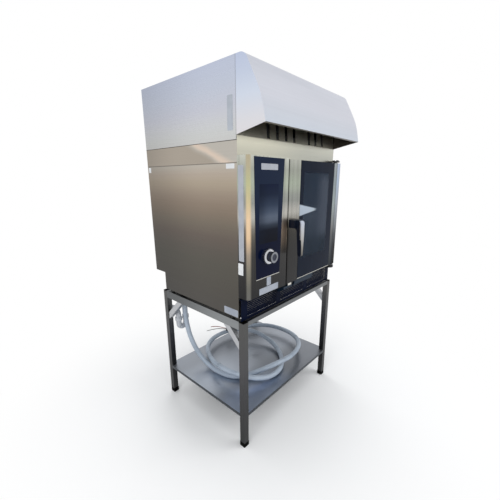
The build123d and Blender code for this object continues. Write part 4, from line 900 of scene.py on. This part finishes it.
wear(electric_parts, moulded(
    "board_green_plastic", (0.02, 0.07, 0.045), (0.04, 0.11, 0.07), 0.4, 300.0, 0.2,
))
wear(["door_hinge_blocks", "hinge_brackets"], moulded(
    "hinge_dark_metal", (0.05, 0.05, 0.052), (0.1, 0.1, 0.1), 0.4, 300.0, 0.3,
))
print("moulded finishes ready")

# %% [markdown]
# Chrome, brass and cast aluminium differ by colour and roughness alone. A soft cloud of noise lets
# both drift a little, as handling does. Bare metal needs no bump at this distance.


# %% Bright metals
def clouded(name, scale, colour, other, smooth, rough, **fixed):
    """A finish whose colour and roughness drift softly between two values."""
    finish = Finish(name)
    cloud = finish.noise(finish.position, scale, 3.0)
    return finish.surface(
        Base_Color=finish.mix(cloud.between(0.3, 0.75), colour, other),
        Roughness=cloud.between(0.3, 0.7, smooth, rough),
        **fixed,
    )


def polished(name, colour, darker, rough):
    return clouded(name, 20.0, colour, darker, rough, rough + 0.08, Metallic=1.0)


bezel_chrome = polished("bezel_chrome", (0.62, 0.63, 0.66), (0.5, 0.51, 0.54), 0.24)
wear(["dial_ring"], polished("dial_chrome", (0.26, 0.27, 0.3), (0.2, 0.21, 0.23), 0.28))
wear(["water_inlets"], polished("inlet_brass_turned", (0.72, 0.54, 0.24), (0.6, 0.44, 0.18), 0.25))
wear(["fan_motor"], polished("motor_aluminium_cast", (0.56, 0.57, 0.59), (0.44, 0.45, 0.46), 0.38))
wear(["hood_fan_motor", "hood_fan"], polished(
    "hood_aluminium_greasy", (0.12, 0.12, 0.12), (0.08, 0.08, 0.08), 0.42,
))
print("bright metals ready")

# %% [markdown]
# The door has two panes. The outer one is printed black round its edge, so only the window in the
# middle lets the cavity show. One pane of glass with a varying Alpha does this. A second, printed
# sheet would be closer to the factory's way, but it would add a piece that nobody sees as one.


# %% Glass
def soft_window(finish, low, high, soft):
    """1 inside a window between two (x, z) corners in the drawing, and 0 outside."""
    (left, foot), (right, head) = low, high
    aside = finish.drawn("X").distance_from((left + right) / 2) - (right - left) / 2
    above = finish.drawn("Z").distance_from((foot + head) / 2) - (head - foot) / 2
    return aside.most(above).between(-soft, soft, 1.0, 0.0)


wedge_start, wedge_length = -12.0, 132.0
wedge_low, wedge_rise, wedge_half = 386.0, 4.5, 20.0


def outer_pane_finish():
    """The window is a shade lighter than its border, with painted light in it and a painted pale
    wedge.
    """
    finish = Finish("outer_pane_glass")
    window = soft_window(finish, (3, 187), (206, 537), 4.0)
    smear = finish.noise(finish.stretched(12, 2, 2), 3.0, 3.0)
    border = finish.mix(smear.between(0.3, 0.75), (0.002, 0.006, 0.017), (0.004, 0.009, 0.022))
    # Painted light in the window: a lighter band by height, a lighter patch at the hinge side, and
    # the pale wedge of light.
    view = height_tone(finish, [
        (187, (0.01, 0.02, 0.036)), (250, (0.016, 0.028, 0.046)), (300, (0.04, 0.056, 0.082)),
        (360, (0.052, 0.07, 0.1)), (410, (0.022, 0.036, 0.062)), (537, (0.014, 0.028, 0.052)),
    ])
    glimpse = finish.mix(smear.between(0.3, 0.7, 0.0, 0.6), view, (0.022, 0.034, 0.056))
    x, z = finish.drawn("X"), finish.drawn("Z")
    hinge_side_reflection = x.between(90, 180) * z.between(240, 310) * z.between(500, 545, 1.0, 0.0)
    glimpse = finish.mix(hinge_side_reflection, glimpse, (0.066, 0.082, 0.115))
    reach = (1 - (x - wedge_start) / wedge_length).most(0.0)
    middle = reach * wedge_rise + wedge_low
    inside = (z.distance_from(middle) - reach * wedge_half).between(-1.0, 4.0, 1.0, 0.0)
    painted_glint = reach.between(0.0, 0.25) * inside
    return finish.surface(
        Base_Color=finish.mix(painted_glint, finish.mix(window, border, glimpse), (0.42, 0.48, 0.55)),
        Roughness=smear.between(0.3, 0.7, 0.05, 0.12),
        Alpha=(1 - window * 0.3).most(painted_glint),
        Specular_IOR_Level=0.05,
    )


def inner_pane_finish():
    finish = Finish("inner_pane_glass")
    smear = finish.noise(finish.position, 4.0, 2.0)
    return finish.surface(
        Base_Color=(0.05, 0.08, 0.11),
        Roughness=smear.between(0.3, 0.7, 0.04, 0.12),
        Alpha=0.35,
        Specular_IOR_Level=0.3,
    )


wear(["outer_glass"], outer_pane_finish())
wear(["inner_glass"], inner_pane_finish())
print("door glass ready")

# %% [markdown]
# The control panel is a tapered sheet of blue glass, and the part of it in front of the display is
# darker, with a painted soft gleam. The imported glass is a plain rectangle. So the taper is made
# here, as a thin plate with a hole for the dial, and a steel skin behind it covers the rest of it.


# %% Control panel
def panel_finish():
    """Blue glass with a dark screen, on which a gleam lies like a band."""
    finish = Finish("panel_blue_glass")
    screen = soft_window(finish, (-272, 290), (-166, 496), 1.5)
    # Painted reflection: a gleam across the screen by height, fading towards the left.
    sheen = height_tone(finish, [
        (290, (0.002, 0.003, 0.008)), (337, (0.004, 0.006, 0.014)), (354, (0.03, 0.04, 0.06)),
        (368, (0.085, 0.105, 0.145)), (384, (0.095, 0.118, 0.165)), (400, (0.06, 0.08, 0.122)),
        (424, (0.028, 0.042, 0.075)), (460, (0.008, 0.015, 0.036)), (496, (0.003, 0.008, 0.03)),
    ])
    fade = finish.drawn("X").between(-273, -215, 0.55, 0.0)
    blue = height_tone(finish, [
        (160, (0.0, 0.002, 0.018)), (300, (0.001, 0.004, 0.02)), (400, (0.008, 0.016, 0.04)),
        (583, (0.01, 0.018, 0.042)),
    ])
    glass = finish.mix(screen, blue, finish.mix(fade, sheen, (0.004, 0.008, 0.02)))
    cloud = finish.noise(finish.position, 5.0, 2.0)
    return finish.surface(
        Base_Color=glass,
        Roughness=cloud.between(0.3, 0.7, 0.1, 0.16),
        Specular_IOR_Level=0.06,
    )


def upright_plate(name, corners, back, front, hole, material):
    """A thin upright plate from its (x, z) corners, with a round hole (x, z, radius) in it."""
    mesh = bpy.data.meshes.new(name)
    shape = bmesh.new()
    across, up, radius = hole
    ring = [(across + radius * c, up + radius * s) for c, s in circle(32)]
    layers = []
    for y in (back, front):
        layer = [[shape.verts.new(place(x, y, z)) for x, z in line] for line in (corners, ring)]
        edges = [
            shape.edges.new((loop[number - 1], loop[number]))
            for loop in layer for number in range(len(loop))
        ]
        bmesh.ops.triangle_fill(shape, use_beauty=True, edges=edges)
        layers.append(layer)
    for behind, before in zip(*layers):
        for number in range(len(behind)):
            shape.faces.new(
                (behind[number - 1], behind[number], before[number], before[number - 1])
            )
    bmesh.ops.recalc_face_normals(shape, faces=shape.faces)
    shape.to_mesh(mesh)
    shape.free()
    return piece(name, mesh, "oven_body", material)


dial_place = (-222.0, 240.0)
panel_front = console_front - 0.5
panel_outline = [(-299.3, 583.4), (-286.8, 162.5), (-150.7, 162.5), (-132.5, 583.4)]
skin_outline = [(-294, 586), (-294, 159.5), (-140, 159.5), (-140, 586)]
panel_glass = upright_plate(
    "panel_glass", panel_outline, console_front - 0.25, panel_front, (*dial_place, 7.0),
    panel_finish(),
)
upright_plate(
    "panel_skin", skin_outline, console_front, console_front - 0.24, (*dial_place, 7.5),
    console_steel,
)
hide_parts("control_glass")
print("control panel ready")

# %% [markdown]
# Two pieces are easier to shape here than as solids: the collar round the dial, turned from a
# profile, and the leaf of bright steel on the lever, which wraps round one side of the grip and
# narrows to its foot.


# %% Dial collar and handle leaf
def turned(name, profile, middle, sides=64):
    """A ring turned about the dial's axis from a closed profile of (radius, y)."""
    return skinned(name, [
        [place(middle[0] + radius * c, y, middle[1] + radius * s) for radius, y in profile]
        for c, s in circle(sides)
    ], joined=True)


collar_profile = [
    (19, -49.5), (29, -49.5), (29, -56), (28.6, -58), (27.6, -59.8), (25.5, -61.4), (22, -62.3),
    (19, -62.5),
]
collar = piece(
    "dial_collar", turned("dial_collar", collar_profile, dial_place), "oven_body",
    bezel_chrome,
)
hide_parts("dial_bezel")

leaf_foot, leaf_height, leaf_steps = 221.0, 137.0, 28
front_growth, side_growth = 79.0, 66.0
leaf_lift = 1.6
grip_middle, grip_front = -69.0, -97.0
grip_foot, grip_taper, grip_narrow, grip_wide = 217.0, 111.0, 7.5, 11.0
crown_start, crown_radius = 348.0, 12.0
narrowing_start, narrowing_height = 350.0, 8.0


def leaf_row(z):
    """An L at one height of the grip: over its front, then back along its left side."""
    up = min(1.0, (z - leaf_foot) / front_growth)
    side = min(1.0, (z - leaf_foot) / side_growth)
    crown = max(0.0, (z - narrowing_start) / narrowing_height) ** 2
    widened = (grip_wide - grip_narrow) * (z - grip_foot) / grip_taper
    grip_half = min(grip_wide, grip_narrow + widened)
    face = grip_front
    if z >= crown_start:
        face += crown_radius - math.sqrt(crown_radius ** 2 - (z - crown_start) ** 2)
    left = grip_middle - 3.0 - (grip_half - 2.5) * side
    right = grip_middle + 4.0 + 5.5 * up - 4.0 * crown
    wrap = face + 1.9 + 4.5 * up * up - 2.0 * crown
    skin = face - leaf_lift
    line = [
        (left, wrap), (left, skin + 2.4), (left + 0.8, skin + 0.7), (left + 2.4, skin),
        (right - 1.2, skin), (right, skin + 0.9), (right, face + 1.5), (left + 2.5, face + 1.5),
        (left + 1.2, wrap),
    ]
    return [place(x, y, z) for x, y in line]


leaf_rows = [
    leaf_row(leaf_foot + leaf_height * step / leaf_steps) for step in range(leaf_steps + 1)
]
# Painted reflections: the leaf's steel is darker at its foot and bluer towards the top.
leaf = piece(
    "handle_leaf", skinned("handle_leaf", leaf_rows), "handle",
    brushed("leaf_steel_brushed", [
        (221, (0.2, 0.185, 0.165)), (250, (0.3, 0.285, 0.26)), (290, (0.48, 0.475, 0.46)),
        (330, (0.56, 0.58, 0.62)), (358, (0.58, 0.63, 0.74)),
    ], (300, 300, 4), 0.3, 0.02),
)
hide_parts("handle_strip")
for thing in (collar, leaf):
    thing.data.set_sharp_from_angle(angle=math.radians(35))
print("collar and leaf ready")

# %% [markdown]
# Factory labels on a machine are thin films with rounded corners. They are blank here, so what
# makes them read as labels is their edge, a slight lift and a tone that is never quite even.


# %% Labels
def film_finish(name, colour, other):
    return clouded(name, 25.0, colour, other, 0.35, 0.5)


paper = film_finish("label_paper", (0.78, 0.79, 0.8), (0.68, 0.69, 0.7))
film = film_finish("label_film", (0.44, 0.47, 0.52), (0.38, 0.41, 0.46))
dull = film_finish("label_dull_film", (0.42, 0.44, 0.48), (0.36, 0.38, 0.43))
slate = film_finish("label_slate_film", (0.36, 0.39, 0.45), (0.3, 0.33, 0.39))
plate_thickness = 0.3 * millimetre
corner_share = 0.12
corner_steps = 5


def thin_plate(name, low, high, out, material, body="oven_body"):
    """A thin plate with rounded corners on a face. out is the axis that the face looks along."""
    low, high = place(*low), place(*high)
    size = high - low
    across, up = [axis for axis in range(3) if axis != abs(out) - 1]
    radius = min(size[across], size[up]) * corner_share
    rings = []
    for lift in (0.0, plate_thickness):
        ring = []
        for corner, (cx, cy) in enumerate(((1, 1), (-1, 1), (-1, -1), (1, -1))):
            for step in range(corner_steps):
                turn = math.pi / 2 * (corner + step / (corner_steps - 1))
                spot = (low + high) / 2
                spot[across] += cx * (size[across] / 2 - radius) + radius * math.cos(turn)
                spot[up] += cy * (size[up] / 2 - radius) + radius * math.sin(turn)
                spot[abs(out) - 1] += math.copysign(lift, out)
                ring.append(spot)
        rings.append(ring)
    return piece(name, skinned(name, rings, smooth=False), body, material)


side = -casing_half
front = console_front
labels = [
    thin_plate("console_side_label", (side, -29, 235), (side, -5, 556), -1, dull),
    thin_plate("console_side_tag", (side, -25, 184), (side, -1, 227), -1, paper),
    thin_plate("hood_side_label", (side, 15, 663), (side, 40, 767), -1, film),
    thin_plate("joint_label_front", (side, 11, 546), (side, 51, 562), -1, paper),
    thin_plate("joint_label_rear", (side, 530, 539), (side, 547, 560), -1, paper),
    thin_plate("casing_foot_label", (side, 4, 14), (side, 78, 42), -1, slate),
    thin_plate("console_foot_tag", (-227, front, 125), (-202, front, 158), -2, slate),
    thin_plate("console_foot_strip", (-269, front, 98), (-156, front, 123), -2, slate),
]
print(len(labels), "blank labels")

# %% [markdown]
# Four more thin plates finish the front. The panel carries a blank plate. A bright steel strip runs
# below the panel as a painted highlight on its bent steel edge, and a folded tab, bent steel on the
# real oven, ends the door's stile. A black hem closes the gap behind the lowest louvres of the
# plinth.

# %% Plate, trims and hem
trim_steel = brushed("trim_steel_brushed", (0.7, 0.69, 0.64), level, 0.25)
hem_black = moulded("hem_black_paint", (0.002, 0.003, 0.006), (0.004, 0.005, 0.009), 0.45)
strip_front = console_front - 0.25
tab_front, hem_front = -48.7, -12.4
plates = [
    thin_plate(
        "panel_plate", (-263, panel_front, 543), (-172, panel_front, 563), -2, dull,
    ),
    # A painted highlight: a bright steel strip along the panel's lower edge.
    thin_plate(
        "panel_foot_highlight_strip", (-287, strip_front, 160.2), (-151, strip_front, 162.4), -2, trim_steel,
    ),
    thin_plate(
        "stile_foot_tab", (-88, tab_front, 88), (-64, tab_front, 99), -2, trim_steel,
        "door",
    ),
    thin_plate(
        "plinth_hem", (-320, hem_front, 7), (320, hem_front, 15), -2, hem_black,
    ),
]
print(len(plates), "plates on the front")

# %% [markdown]
# Real edges are never sharp. A bevel modifier rounds the two pieces that a hand holds, and adds no
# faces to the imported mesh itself. Everywhere else smooth shading with sharp creases is enough.

# %% Soft edges on the parts that a hand holds
for name, width in (("handle_lever", 3.2), ("dial_ring", 1.6)):
    edge = nodes[name].modifiers.new("soft_edge", "BEVEL")
    edge.width = width * millimetre
    edge.segments = 3
    edge.limit_method = "ANGLE"
    edge.angle_limit = math.radians(40)
print("edges rounded")

# %% Round the shading of curved sheets
for thing in nodes.values():
    thing.data.set_sharp_from_angle(angle=math.radians(28))
print("smooth shading on", len(nodes), "nodes")
